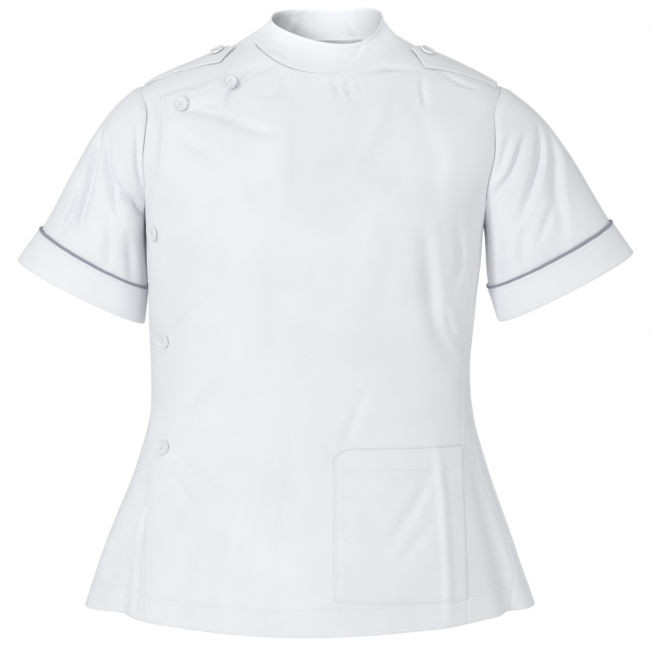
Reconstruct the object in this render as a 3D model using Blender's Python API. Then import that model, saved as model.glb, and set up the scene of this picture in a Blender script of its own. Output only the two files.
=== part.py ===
"""A short-sleeved nurse's jacket that buttons down the wearer's right side, filled out as if worn.

Every piece of cloth is a thin closed wall. The body's pieces are cut from one surface, given by an angle
round the body and a height, so their edges meet at the seams. Tables are in millimetres and degrees, and
the model is in metres, with +Z up and the front facing -Y. The wearer's left is +X. The origin is midway
between the two points where the collar crosses the shoulder seams.
"""

import math

import bmesh
import bpy
import numpy as np

MM = 0.001

# Walls, seams and layers, in millimetres.
CLOTH = 1.4
DOUBLE_CLOTH = 1.8
SEAM_GAP = 0.7
NECK_GAP = 1.1
LAP_LIFT = 2.8
PATCH_LIFT = 2.2

# The length of the jacket from the shoulder's neck point to the hem, and the height of the shoulder's end.
HEM = -686.0
HEM_FRONT_DROP = 3.0
SHOULDER_END = -62.0

# The neck opening, measured round the collar's seam.
NECK_HALF_WIDTH = 86.0
NECK_FRONT_DROP = 49.0
NECK_BACK_DROP = 4.0
NECK_ROUNDNESS = 1.2

# The collar: where its outer end lies on the neck, how far it laps under, and its leaning top edge.
COLLAR_OUTER_END = 160.0
COLLAR_INNER_END = -240.0
NECK_STEP = 10.0
COLLAR_TOP_HALF_WIDTH = 66.0
COLLAR_TOP_FRONT = 54.0
COLLAR_TOP_BACK = 50.0
COLLAR_TOP_CENTRE = 8.0
COLLAR_TOP_SKEW = 16.0
COLLAR_TOP_HEIGHTS = {"side": 21.0, "front": -15.0, "back": 36.0}
COLLAR_TOP_TILT = 3.0
COLLAR_STAND_OFF = 1.5
COLLAR_EXTRA_RISE = 0.6
COLLAR_FLARE = 1.5
COLLAR_LIFT_FROM = 60.0
COLLAR_LIFT_TO = 118.0

# Armholes: an oval seen from the side.
ARMHOLE_TOP = SHOULDER_END
ARMHOLE_BOTTOM = -223.0
ARMHOLE_FRONT_DEPTH = 55.0
ARMHOLE_BACK_DEPTH = 58.0
ARMHOLE_STAND_OFF = {"top": 1.2, "under": 2.1}
ARMHOLE_SPREAD = 0.35
ARMHOLE_RISE = 0.25

# Cuffs, piping and buttons.
PIPING_RADIUS = 1.7
PIPING_GAP = 0.5
CUFF_PROUD = 1.6
BUTTON_RADIUS = 9.0
BUTTON_THICKNESS = 3.0
BUTTON_STAND_OFF = 0.9
# A button's section from the middle of its face round to its back, as shares of its radius and thickness.
BUTTON_PROFILE = ((0.0, 0.55), (0.70, 0.55), (0.80, 1.0), (0.94, 0.85), (1.0, 0.45), (0.92, 0.0))

# Shoulder straps, whose armhole end curves with the seam. Each runs from its armhole end to its tip.
STRAP_COLUMNS = ("side", "end_x", "tip_x", "end_y", "tip_y")
STRAPS = {
    "right": (-1, -207.5, -100.0, 11.0, -25.0),
    "left": (1, 209.5, 106.0, -2.0, -31.0),
}
STRAP_HALF_WIDTH = 21.0
STRAP_TIP_LENGTH = 16.0
STRAP_TIP_BLUNTNESS = 0.04
STRAP_END_CURVE = 0.0055
STRAP_LIFT = 2.4
STRAP_TIP_LIFT = 1.2
STRAP_TIP_LIFT_FROM = 0.45
STRAP_TIP_MIDDLE = 0.4
STRAP_CENTRE_DROP = 84.0

# Level sections of the body. Half width is across, front and back are depths from the middle, centre is
# the sideways lean, and a pinch flattens a section towards its sides (a negative one fills it out).
RING_COLUMNS = ("height", "half_width", "front", "back", "centre", "pinch_front", "pinch_back")
RINGS = (
    (-690, 274, 161, 159, -11, 0.40, 0.30),
    (-600, 243, 143, 140, -12, 0.30, 0.22),
    (-520, 213, 122, 118, -10, 0.15, 0.10),
    (-455, 195, 104, 98, -10, 0.02, 0.00),
    (-400, 191, 98, 90, -11, -0.08, -0.08),
    (-330, 195, 110, 96, -9, -0.18, -0.15),
    (-270, 198, 121, 102, -6, -0.25, -0.20),
    (-223, 202, 122, 105, -6, -0.28, -0.22),
    (-178, 214, 113, 104, -4, -0.30, -0.25),
    (-142, 228, 102, 98, -1, -0.30, -0.25),
    (-98, 227, 86, 87, 1, -0.25, -0.22),
    (-62, 212, 71, 75, 2, -0.10, -0.10),
    (-49, 190, 66, 71, 3, -0.05, -0.05),
    (-30, 148, 59, 65, 6, 0.0, 0.0),
    (-14, 110, 50, 58, 5, 0.0, 0.0),
    (0, NECK_HALF_WIDTH, 44, 52, 4, 0.0, 0.0),
    (8, 70, 38, 44, 4, 0.0, 0.0),
)

# Soft flutes of the skirt: each runs down from start, between two angles, as deep as depth at the hem.
FLUTE_COLUMNS = ("start_height", "start_angle", "hem_angle", "spread", "depth")
FLUTES = (
    (-450, 158, 150, 7, -14),
    (-470, 171, 168, 8, 4),
    (-450, 22, 26, 6, -11),
    (-450, 40, 55, 7, 5),
    (-430, -34, -40, 9, -13),
    (-440, -62, -66, 10, 7),
    (-430, -98, -104, 10, -11),
    (-440, -143, -140, 10, -13),
)

# Seams and free edges on the body, from the bottom up, each point an angle and a height. Angle 0 is the
# wearer's left side, 90 the middle of the front, 180 the wearer's right side and -90 the middle of the back.
OUTER_EDGE = (
    (134.4, HEM), (137.6, -640), (142.0, -594), (149.1, -549), (155.3, -517), (162.5, -482), (168.5, -440),
    (170.5, -380), (170.5, -300), (168.5, -240), (164.0, -215), (156.8, -195), (151.5, -179), (145.1, -156),
    (142.5, -116), (146.6, -72.5),
)
OUTER_TOP_EDGE = (
    (146.6, -72.5), (139.9, -68.0), (134.4, -62.3), (128.7, -58.9), (124.6, -55.0), (122.4, -46.0),
    (120.0, -34.2), (116.5, -22.0),
)
UNDER_EDGE = (
    (124.0, HEM), (131.0, -594), (143.0, -517), (155.0, -440), (158.0, -380), (158.0, -300), (155.0, -240),
    (144.0, -195), (133.0, -156), (126.0, -116), (115.0, -75),
)
PRINCESS_SEAM = (
    (48.2, HEM), (42.7, -616), (36.8, -554), (29.9, -498), (23.3, -446), (20.5, -400), (19.5, -330),
    (19.0, -270), (19.5, -223),
)
LEFT_SIDE_SEAM = (
    (24.9, HEM), (20.5, -660), (16.0, -635), (15.5, -569), (18.5, -501), (10.0, -400), (3.0, -300),
)
RIGHT_SIDE_SEAM = ((150.5, HEM), (151.4, -625), (154.2, -585), (157.0, -517), (166.0, -400), (176.0, -300))
PRINCESS_ARMHOLE_ANGLE = 128.0
UNDER_NECK_END = 120.0
LAP_LIFT_FROM = 76.0
LAP_LIFT_TO = 97.0

# How finely lines are sampled, and how often a search is repeated.
LINE_STEPS = 40
SHOULDER_STEPS = 60
ARMHOLE_STEPS = 60
SEARCH_STEPS = 40
SECTION_STEPS = 20
SHOULDER_SEARCH = (-140.0, 7.0)

# Sleeves, seen from the front: the two ends of the piping seam and of the hem.
SLEEVE_COLUMNS = (
    "pipe_outer_x", "pipe_outer_z", "pipe_inner_x", "pipe_inner_z",
    "hem_outer_x", "hem_outer_z", "hem_inner_x", "hem_inner_z",
)
SLEEVES = {
    "right": (-333.6, -230.4, -208.0, -299.0, -361.0, -268.0, -212.5, -342.5),
    "left": (348.0, -222.0, 203.0, -298.8, 374.4, -258.5, 216.5, -340.5),
}
SLEEVE_HALF_DEPTH = {"pipe": 41.0, "hem": 44.0}
SLEEVE_FRONT_DROP = {"pipe": 6.0, "hem": 3.5}
# How strongly the top and the underside of a sleeve set out from the armhole and run into the cuff, with
# their directions as outward and upward parts.
SLEEVE_TOP_PULL = {"right": 175.0, "left": 195.0}
SLEEVE_TOP_DIRECTION = (0.94, -0.34)
SLEEVE_UNDER_PULL = 45.0
SLEEVE_UNDER_DIRECTION = (0.25, -0.97)
SLEEVE_FORWARD_PULL = 16.0
SLEEVE_END_PULL = {"top": 130.0, "under": 45.0}
# Soft folds down a sleeve: where each starts and ends round it and along it. They fade out at both ends.
FOLD_FADE = 0.3
SLEEVE_FOLD_COLUMNS = ("start_round", "end_round", "start_along", "end_along", "spread", "depth")
SLEEVE_FOLDS = (
    (55, 60, 0.25, 1.0, 11, -5.0),
    (95, 108, 0.20, 0.8, 12, -4.0),
    (250, 240, 0.25, 0.95, 13, -5.0),
    (300, 296, 0.30, 0.90, 12, -3.5),
)

# Patch pocket: its corners as angles and heights.
POCKET_INNER_ANGLE = {"top": 82.5, "bottom": 83.4}
POCKET_INNER_HEIGHT = {"top": -482.0, "bottom": -651.0}
POCKET_SEAM_HEIGHT = {"top": -485.5, "bottom": -661.0}
POCKET_CORNER_CUT = (4.5, 9.0)
POCKET_SEAM_MARGIN = 1.6

# Buttons down the lap, as an angle and a height on the body.
FRONT_BUTTONS = ((120.0, -59.5), (135.5, -84.0), (157.5, -234.0), (153.0, -360.0), (148.7, -487.0))
STRAP_BUTTON_FROM_TIP = 20.0

CLOTH_COLOUR = (0.86, 0.87, 0.89, 1.0)
PIPING_COLOUR = (0.38, 0.41, 0.49, 1.0)
BUTTON_COLOUR = (0.84, 0.84, 0.85, 1.0)


def clear_scene():
    """Remove whatever the opened file holds."""
    for thing in list(bpy.data.objects):
        bpy.data.objects.remove(thing, do_unlink=True)


def material(name, colour, roughness):
    """A plain surface of one colour."""
    made = bpy.data.materials.new(name)
    made.use_nodes = True
    shader = made.node_tree.nodes["Principled BSDF"]
    shader.inputs["Base Color"].default_value = colour
    shader.inputs["Roughness"].default_value = roughness
    shader.inputs["Metallic"].default_value = 0.0
    return made


def smooth_step(value):
    """0 below 0, 1 above 1 and an S curve between."""
    t = np.clip(value, 0.0, 1.0)
    return t * t * (3.0 - 2.0 * t)


def ring_value(height, column):
    """One column of the ring table at any height, along a smooth curve through its rows."""
    table = np.array(RINGS, dtype=float)
    at, values = table[:, 0], table[:, RING_COLUMNS.index(column)]
    slopes = np.gradient(values, at)
    z = np.clip(height, at[0], at[-1])
    i = np.clip(np.searchsorted(at, z) - 1, 0, len(at) - 2)
    step = at[i + 1] - at[i]
    t = (z - at[i]) / step
    return (
        (2 * t**3 - 3 * t**2 + 1) * values[i]
        + (t**3 - 2 * t**2 + t) * step * slopes[i]
        + (3 * t**2 - 2 * t**3) * values[i + 1]
        + (t**3 - t**2) * step * slopes[i + 1]
    )


def flute_depth(angle, height):
    """How far the skirt's flutes stand out, in millimetres. Angles are in degrees."""
    total = np.zeros(np.broadcast(angle, height).shape)
    for start, start_angle, hem_angle, spread, depth in FLUTES:
        down = np.clip((start - height) / (start - HEM), 0.0, 1.1)
        middle = start_angle + (hem_angle - start_angle) * down
        away = (angle - middle + 180.0) % 360.0 - 180.0
        total = total + depth * down**1.3 * np.exp(-((away / spread) ** 2))
    return total


def body_point(angle, height):
    """The body's surface in millimetres. Above the shoulder's end an angle keeps its place across."""
    angle, height = np.broadcast_arrays(np.asarray(angle, float), np.asarray(height, float))
    turn = np.radians(angle)
    half_width = ring_value(height, "half_width")
    end_width = ring_value(np.full_like(height, SHOULDER_END), "half_width")
    across = np.where(height > SHOULDER_END, end_width, half_width) * np.cos(turn)
    cosine = np.clip(across / half_width, -1.0, 1.0)
    sine = np.sqrt(1.0 - cosine**2)
    front = np.sin(turn) > 0.0
    depth = np.where(front, ring_value(height, "front"), ring_value(height, "back"))
    pinch = np.where(front, ring_value(height, "pinch_front"), ring_value(height, "pinch_back"))
    side = np.where(front, -1.0, 1.0)
    flute = flute_depth(angle, height)
    x = across + ring_value(height, "centre") + flute * np.cos(turn)
    y = side * depth * sine * (1.0 - pinch * cosine**2) - flute * np.sin(turn)
    return np.stack([x, y, height], axis=-1)


def neck_place(turn, grow=0.0):
    """The collar's seam at a turn round the neck, widened by grow, as an angle and a height on the body."""
    turn = np.asarray(turn, float)
    sine = np.sin(np.radians(turn))
    drop = np.where(sine > 0.0, NECK_FRONT_DROP, NECK_BACK_DROP)
    height = -(drop + grow) * np.abs(sine) ** NECK_ROUNDNESS
    end_width = ring_value(np.array([SHOULDER_END]), "half_width")[0]
    angle = np.degrees(np.arccos((NECK_HALF_WIDTH + grow) * np.cos(np.radians(turn)) / end_width))
    return np.stack([np.where(sine >= 0.0, angle, -angle), height], axis=-1)


def neck_stations(start, end):
    """Turns round the neck at which the collar and the pieces below it all have a point."""
    return np.linspace(start, end, round(abs(end - start) / NECK_STEP) + 1)


def shoulder_place(side, count):
    """The shoulder seam from its end to the neck, as angles and heights. Side is 1 on the wearer's left."""
    height = np.linspace(SHOULDER_END, 0.0, count + 1)
    end_width = ring_value(np.array([SHOULDER_END]), "half_width")[0]
    ratio = np.clip(ring_value(height, "half_width") / end_width, 0.0, 1.0)
    return np.stack([np.degrees(np.arccos(side * ratio)), height], axis=-1)


def armhole_place(side, turn):
    """An armhole's seam at a turn from its top, forward first, as an angle and a height on the body."""
    turn = np.radians(np.asarray(turn, float))
    middle = 0.5 * (ARMHOLE_TOP + ARMHOLE_BOTTOM)
    height = middle + 0.5 * (ARMHOLE_TOP - ARMHOLE_BOTTOM) * np.cos(turn)
    front = np.sin(turn) > 0.0
    reach = np.where(front, ARMHOLE_FRONT_DEPTH, ARMHOLE_BACK_DEPTH) * np.abs(np.sin(turn))
    depth = np.where(front, ring_value(height, "front"), ring_value(height, "back"))
    pinch = np.where(front, ring_value(height, "pinch_front"), ring_value(height, "pinch_back"))
    wanted = reach / depth
    sine = wanted.copy()
    for _ in range(SECTION_STEPS):
        sine = wanted / (1.0 - pinch * (1.0 - sine**2))
    angle = np.degrees(np.arcsin(np.clip(sine, 0.0, 1.0)))
    angle = np.where(front, angle, -angle)
    if side < 0:
        angle = np.where(front, 180.0 - angle, -180.0 - angle)
    return np.stack([angle, height], axis=-1)


def evenly(places, shares):
    """Points of a line of places, at shares of its true length on the body."""
    places = np.asarray(places, float)
    knots = np.arange(len(places))
    fine = np.linspace(0, len(places) - 1, LINE_STEPS * (len(places) - 1) + 1)
    line = np.stack([np.interp(fine, knots, places[:, k]) for k in (0, 1)], axis=-1)
    steps = np.linalg.norm(np.diff(body_point(line[:, 0], line[:, 1]), axis=0), axis=1)
    along = np.concatenate([[0.0], np.cumsum(steps)])
    at = np.asarray(shares, float) * along[-1]
    return np.stack([np.interp(at, along, line[:, k]) for k in (0, 1)], axis=-1)


def smooth_line(places, per_step=6):
    """A smooth curve through a line of places, as a denser line."""
    places = np.asarray(places, float)
    knots = np.arange(len(places), dtype=float)
    at = np.linspace(0, len(places) - 1, per_step * (len(places) - 1) + 1)
    i = np.clip(at.astype(int), 0, len(places) - 2)
    t = (at - knots[i])[:, None]
    slopes = np.gradient(places, axis=0)
    return (
        (2 * t**3 - 3 * t**2 + 1) * places[i]
        + (t**3 - 2 * t**2 + t) * slopes[i]
        + (3 * t**2 - 2 * t**3) * places[i + 1]
        + (t**3 - t**2) * slopes[i + 1]
    )


def joined(*lines):
    """Several lines end to end, with the shared points once."""
    return np.concatenate([lines[0]] + [line[1:] for line in lines[1:]])


def patch(bottom, top, left, right, up, fade=(6, 6)):
    """A grid of places inside four edges. Each row runs between the bottom and the top by its share up,
    and the bends of the left and right edges fade out across it, the faster the larger fade is."""
    u = np.linspace(0.0, 1.0, len(bottom))[None, :, None]
    v = up[:, None, None]
    left_bend = left - ((1 - up[:, None]) * bottom[0] + up[:, None] * top[0])
    right_bend = right - ((1 - up[:, None]) * bottom[-1] + up[:, None] * top[-1])
    rows = (1 - v) * bottom[None] + v * top[None]
    return rows + (1 - u) ** fade[0] * left_bend[:, None] + u ** fade[1] * right_bend[:, None]


def grid_normals(grid, closed=False):
    """Unit normals of a grid of points, one row above another. Closed joins each row's ends."""
    if closed:
        wide = np.concatenate([grid[:, -1:], grid, grid[:, :1]], axis=1)
        across = (wide[:, 2:] - wide[:, :-2]) / 2.0
    else:
        across = np.gradient(grid, axis=1)
    up = np.gradient(grid, axis=0)
    normal = np.cross(across, up)
    return normal / np.maximum(np.linalg.norm(normal, axis=-1, keepdims=True), 1e-12)


def away_from(grid, normals, middle):
    """The normals, turned so that on the whole they point away from the middle."""
    if np.sum((grid - middle) * normals) < 0.0:
        return -normals
    return normals


def wall_mesh(name, grid, normals, thickness, closed=False):
    """A closed wall of even thickness about a grid of points, in metres."""
    rows, columns = grid.shape[:2]
    half = 0.5 * thickness * normals
    points = np.concatenate([(grid + half).reshape(-1, 3), (grid - half).reshape(-1, 3)]) * MM
    inner = rows * columns
    faces = []
    last = columns if closed else columns - 1
    for j in range(rows - 1):
        for i in range(last):
            a, b = j * columns + i, j * columns + (i + 1) % columns
            c, d = b + columns, a + columns
            faces.append((a, b, c, d))
            faces.append((inner + d, inner + c, inner + b, inner + a))
    rim = [(i, (i + 1) % columns) for i in range(last)]
    top = (rows - 1) * columns
    faces += [(inner + a, inner + b, b, a) for a, b in rim]
    faces += [(top + a, top + b, inner + top + b, inner + top + a) for a, b in rim]
    if not closed:
        for j in range(rows - 1):
            a, d = j * columns, (j + 1) * columns
            b, c = a + columns - 1, d + columns - 1
            faces.append((a, d, inner + d, inner + a))
            faces.append((c, b, inner + b, inner + c))
    return solid(name, points, faces)


def solid(name, points, faces):
    """An object from points and faces, with its faces turned outwards."""
    mesh = bpy.data.meshes.new(name)
    mesh.from_pydata([tuple(p) for p in points], [], faces)
    shape = bmesh.new()
    shape.from_mesh(mesh)
    bmesh.ops.triangulate(shape, faces=shape.faces[:])
    bmesh.ops.recalc_face_normals(shape, faces=shape.faces[:])
    shape.to_mesh(mesh)
    shape.free()
    thing = bpy.data.objects.new(name, mesh)
    bpy.context.scene.collection.objects.link(thing)
    return thing


def finish(thing, finish_material, sharp=40.0):
    """Give an object its material and smooth shading."""
    thing.data.materials.append(finish_material)
    thing.data.shade_smooth()
    thing.data.set_sharp_from_angle(angle=math.radians(sharp))
    return thing


def lap_lift(places):
    """How far the outer front is lifted to lie over the under front."""
    share = (places[..., 0] - LAP_LIFT_FROM) / (LAP_LIFT_TO - LAP_LIFT_FROM)
    return LAP_LIFT * smooth_step(share)


def body_wall(name, places, lift=None, shoulder=None):
    """A piece of the body from its grid of places, lifted off the surface where asked. Shoulder gives the
    columns of the top row that lie along a shoulder seam, and are drawn back from it."""
    grid = body_point(places[..., 0], places[..., 1])
    if shoulder is not None:
        grid[-1, shoulder, 1] += 0.5 * SEAM_GAP * np.sign(grid[-2, shoulder, 1])
    middle = np.stack([np.zeros_like(grid[..., 0]), np.zeros_like(grid[..., 0]), grid[..., 2]], axis=-1)
    normals = away_from(grid, grid_normals(grid), middle)
    if lift is not None:
        grid = grid + lift[..., None] * normals
        normals = away_from(grid, grid_normals(grid), middle)
    return wall_mesh(name, grid, normals, CLOTH)


def drawn_back(places, step, axis_sign):
    """A seam's places moved sideways by a distance, for the gap between two pieces."""
    radius = ring_value(places[..., 1], "half_width")
    shift = np.degrees(step / radius) * axis_sign
    return np.stack([places[..., 0] + shift, places[..., 1]], axis=-1)


def hem_line(start_angle, end_angle, count):
    """The hem between two angles, a little lower in the middle of the front."""
    angle = np.linspace(start_angle, end_angle, count + 1)
    drop = HEM_FRONT_DROP * np.clip(np.sin(np.radians(angle)), 0.0, 1.0) ** 2
    return np.stack([angle, HEM - drop], axis=-1)


def rows_of(low, high, share, power=1.7):
    """Row shares: low even rows up to a share of the height, then high rows that close up at the top."""
    below = np.linspace(0.0, share, low + 1)
    above = share + (1.0 - share) * (1.0 - (1.0 - np.linspace(0.0, 1.0, high + 1)) ** power)
    return np.concatenate([below, above[1:]])


def side_line(seam, arm_side, arm_turns, rows, low):
    """A panel's side edge: up a seam with the low rows, then round the armhole with the rest."""
    arm = armhole_place(arm_side, np.linspace(arm_turns[0], arm_turns[1], ARMHOLE_STEPS))
    seam = smooth_line(joined(np.asarray(seam, float), arm[:1][[0, 0]]))
    low_part = evenly(seam, rows[: low + 1] / rows[low])
    high_part = evenly(arm, (rows[low:] - rows[low]) / (1.0 - rows[low]))
    return joined(low_part, high_part)


# Rows of the body's panels below and above the armholes' lowest points, and columns on a shoulder seam.
LOW_ROWS = 15
HIGH_ROWS = 10
ARMHOLE_SHARE = 0.72
SHOULDER_COLUMNS = 7
BODY_ROWS = rows_of(LOW_ROWS, HIGH_ROWS, ARMHOLE_SHARE)


def make_outer_front():
    """The wide front that wraps over to the wearer's right side."""
    edge_columns = 6
    neck = neck_place(neck_stations(COLLAR_OUTER_END, 0.0), NECK_GAP)
    columns = edge_columns + len(neck) - 1 + SHOULDER_COLUMNS
    top_edge = np.concatenate([np.array(OUTER_TOP_EDGE), neck[:1]])
    shoulder = shoulder_place(1, SHOULDER_STEPS)[::-1]
    top = joined(
        evenly(smooth_line(top_edge), np.linspace(0, 1, edge_columns + 1)),
        neck,
        evenly(shoulder, np.linspace(0, 1, SHOULDER_COLUMNS + 1)),
    )
    left = evenly(smooth_line(OUTER_EDGE), BODY_ROWS)
    seam = np.array(PRINCESS_SEAM)
    right = side_line(seam, 1, (PRINCESS_ARMHOLE_ANGLE, 0.0), BODY_ROWS, LOW_ROWS)
    right = drawn_back(right, SEAM_GAP / 2, 1)
    bottom = hem_line(left[0, 0], right[0, 0], columns)
    left[0], right[0], left[-1], right[-1] = bottom[0], bottom[-1], top[0], top[-1]
    places = patch(bottom, top, left, right, BODY_ROWS, (3, 6))
    return body_wall("front_outer", places, lap_lift(places), slice(-SHOULDER_COLUMNS - 1, None))


def make_under_front():
    """The narrow front on the wearer's right, which carries on under the lap."""
    shoulder = shoulder_place(-1, SHOULDER_STEPS)
    neck = neck_place(neck_stations(180.0, UNDER_NECK_END), NECK_GAP)
    columns = SHOULDER_COLUMNS + len(neck) - 1
    top = joined(evenly(shoulder, np.linspace(0, 1, SHOULDER_COLUMNS + 1)), neck)
    left = side_line(np.array(RIGHT_SIDE_SEAM), -1, (180.0, 0.01), BODY_ROWS, LOW_ROWS)
    left = drawn_back(left, SEAM_GAP / 2, -1)
    right = evenly(smooth_line(np.concatenate([np.array(UNDER_EDGE), top[-1:]])), BODY_ROWS)
    bottom = hem_line(left[0, 0], right[0, 0], columns)
    left[0], right[0], left[-1], right[-1] = bottom[0], bottom[-1], top[0], top[-1]
    places = patch(bottom, top, left, right, BODY_ROWS, (6, 1))
    return body_wall("front_under", places, shoulder=slice(0, SHOULDER_COLUMNS + 1))


def make_side_panel():
    """The narrow panel between the outer front and the back, on the wearer's left."""
    columns = 5
    across = np.linspace(0.0, 1.0, columns + 1)
    up = np.linspace(0.0, 1.0, LOW_ROWS + 1)
    arm = armhole_place(1, np.linspace(PRINCESS_ARMHOLE_ANGLE, 180.0, ARMHOLE_STEPS))
    left = evenly(smooth_line(joined(np.array(PRINCESS_SEAM), arm[:1][[0, 0]])), up)
    right = evenly(smooth_line(joined(np.array(LEFT_SIDE_SEAM), arm[-1:][[0, 0]])), up)
    left, right = drawn_back(left, SEAM_GAP / 2, -1), drawn_back(right, SEAM_GAP / 2, 1)
    top = evenly(arm, across)
    bottom = hem_line(left[0, 0], right[0, 0], columns)
    left[0], right[0], left[-1], right[-1] = bottom[0], bottom[-1], top[0], top[-1]
    return body_wall("side_panel", patch(bottom, top, left, right, up, (1, 1)))


def make_back():
    """The back, in one piece from side seam to side seam."""
    shares = np.linspace(0, 1, SHOULDER_COLUMNS + 1)
    first = shoulder_place(1, SHOULDER_STEPS) * [-1, 1]
    last = shoulder_place(-1, SHOULDER_STEPS)[::-1] * [-1, 1]
    neck = neck_place(neck_stations(0.0, -180.0), NECK_GAP)
    neck[:, 0] = -np.abs(neck[:, 0])
    columns = 2 * SHOULDER_COLUMNS + len(neck) - 1
    top = joined(evenly(first, shares), neck, evenly(last, shares))
    first_side = side_line(np.array(LEFT_SIDE_SEAM), 1, (-180.0, -0.01), BODY_ROWS, LOW_ROWS)
    last_seam = np.array(RIGHT_SIDE_SEAM) - [360.0, 0.0]
    last_side = side_line(last_seam, -1, (-180.0, -0.01), BODY_ROWS, LOW_ROWS)
    first_side, last_side = drawn_back(first_side, SEAM_GAP / 2, -1), drawn_back(last_side, SEAM_GAP / 2, 1)
    bottom = hem_line(first_side[0, 0], last_side[0, 0], columns)
    first_side[0], last_side[0] = bottom[0], bottom[-1]
    first_side[-1], last_side[-1] = top[0], top[-1]
    places = patch(bottom, top, first_side, last_side, BODY_ROWS)
    seams = np.r_[0 : SHOULDER_COLUMNS + 1, columns - SHOULDER_COLUMNS : columns + 1]
    return body_wall("back", places, shoulder=seams)


def make_collar():
    """The stand collar, an open band whose outer end laps over its inner end at the wearer's right."""
    rows = 4
    turn = neck_stations(COLLAR_OUTER_END, COLLAR_INNER_END)
    place = neck_place((turn + 180.0) % 360.0 - 180.0)
    base = body_point(place[:, 0], place[:, 1])
    sine, cosine = np.sin(np.radians(turn)), np.cos(np.radians(turn))
    depth = np.where(sine > 0.0, COLLAR_TOP_FRONT, COLLAR_TOP_BACK)
    side, front, back = (COLLAR_TOP_HEIGHTS[k] for k in ("side", "front", "back"))
    slope, dish = 0.5 * (front - back), 0.5 * (front + back) - side
    top = np.stack([
        COLLAR_TOP_CENTRE + COLLAR_TOP_HALF_WIDTH * cosine + COLLAR_TOP_SKEW * np.clip(sine, 0, 1) ** 2,
        -depth * sine,
        side + slope * sine + dish * sine**2 + COLLAR_TOP_TILT * cosine * (1.0 - sine) / 2.0,
    ], axis=-1)
    base = base + [0.0, 0.0, COLLAR_STAND_OFF]
    share = np.linspace(0.0, 1.0, rows + 1)[:, None, None]
    inward = 1.0 - (1.0 - share) ** COLLAR_FLARE
    grid = base[None] * (1.0 - share) + top[None] * share
    grid[..., :2] = (base[None] * (1.0 - inward) + top[None] * inward)[..., :2]
    middle = np.stack([np.zeros_like(grid[..., 0]), np.zeros_like(grid[..., 0]), grid[..., 2]], axis=-1)
    normals = away_from(grid, grid_normals(grid), middle)
    lift = LAP_LIFT * smooth_step((turn - COLLAR_LIFT_FROM) / (COLLAR_LIFT_TO - COLLAR_LIFT_FROM))
    grid = grid + lift[None, :, None] * (normals + [0.0, 0.0, COLLAR_EXTRA_RISE])
    return wall_mesh("collar", grid, away_from(grid, grid_normals(grid), middle), DOUBLE_CLOTH)


def sleeve_end(name, end, turn, grow=0.0):
    """The ring at a sleeve's piping seam or hem, widened by grow."""
    row = dict(zip(SLEEVE_COLUMNS, SLEEVES[name]))
    outer = np.array([row[end + "_outer_x"], 0.0, row[end + "_outer_z"]])
    inner = np.array([row[end + "_inner_x"], 0.0, row[end + "_inner_z"]])
    turn = np.radians(turn)[..., None]
    half = 0.5 * (outer - inner)
    half = half * (1.0 + grow / np.linalg.norm(half))
    forward = np.array([0.0, -(SLEEVE_HALF_DEPTH[end] + grow), -SLEEVE_FRONT_DROP[end]])
    return 0.5 * (outer + inner) + half * np.cos(turn) + forward * np.sin(turn)


def sleeve_point(name, turn, along):
    """A sleeve's surface: a smooth blend from the armhole to the piping seam."""
    side = 1 if name == "left" else -1
    place = armhole_place(side, (turn + 180.0) % 360.0 - 180.0)
    up, forward = np.cos(np.radians(turn)), np.sin(np.radians(turn))
    top_share = ((1.0 + up) / 2.0)[:, None]

    def blend(top, under):
        return top_share * top + (1.0 - top_share) * under

    def outward(pull, direction):
        return pull * np.array([direction[0] * side, 0.0, direction[1]])

    out = np.stack([np.full_like(up, side), -ARMHOLE_SPREAD * forward, ARMHOLE_RISE * up], axis=-1)
    out = out / np.linalg.norm(out, axis=-1, keepdims=True)
    start = body_point(place[:, 0], place[:, 1])
    start = start + blend(ARMHOLE_STAND_OFF["top"], ARMHOLE_STAND_OFF["under"]) * out
    first_pull = blend(
        outward(SLEEVE_TOP_PULL[name], SLEEVE_TOP_DIRECTION), outward(SLEEVE_UNDER_PULL, SLEEVE_UNDER_DIRECTION)
    )
    first_pull = first_pull + np.stack([0 * up, -SLEEVE_FORWARD_PULL * forward, 0 * up], axis=-1)
    end = sleeve_end(name, "pipe", turn)
    ahead = sleeve_end(name, "hem", turn) - end
    ahead = ahead / np.linalg.norm(ahead, axis=-1, keepdims=True)
    last_pull = ahead * blend(SLEEVE_END_PULL["top"], SLEEVE_END_PULL["under"])
    t = along[:, None, None]
    return (
        (2 * t**3 - 3 * t**2 + 1) * start
        + (t**3 - 2 * t**2 + t) * first_pull
        + (3 * t**2 - 2 * t**3) * end
        + (t**3 - t**2) * last_pull
    )


def sleeve_fold(turn, along):
    """How far a sleeve's folds stand out, in millimetres, on a grid of along and turn."""
    turn, along = turn[None, :], along[:, None]
    total = np.zeros(np.broadcast(turn, along).shape)
    for start, end, first, last, spread, depth in SLEEVE_FOLDS:
        share = (along - first) / (last - first)
        middle = start + (end - start) * share
        away = (turn - middle + 180.0) % 360.0 - 180.0
        fade = smooth_step(share / FOLD_FADE) * smooth_step((1.0 + FOLD_FADE / 2 - share) / FOLD_FADE)
        total = total + depth * fade * np.exp(-((away / spread) ** 2))
    return total


def make_sleeve(name):
    """A short sleeve, from just outside the armhole to just above the piping."""
    columns, rows = 28, 11
    turn = np.arange(columns) * 360.0 / columns
    length_shares = np.linspace(0.0, 1.0, rows + 1)
    grid = sleeve_point(name, turn, length_shares)
    last = grid[-1] - grid[-2]
    grid[-1] -= last / np.linalg.norm(last, axis=-1, keepdims=True) * (PIPING_RADIUS + PIPING_GAP)
    middle = grid.mean(axis=1, keepdims=True)
    normals = away_from(grid, grid_normals(grid, True), middle)
    grid = grid + sleeve_fold(turn, length_shares)[..., None] * normals
    normals = away_from(grid, grid_normals(grid, True), middle)
    return wall_mesh("sleeve_" + name, grid, normals, CLOTH, closed=True)


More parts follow.
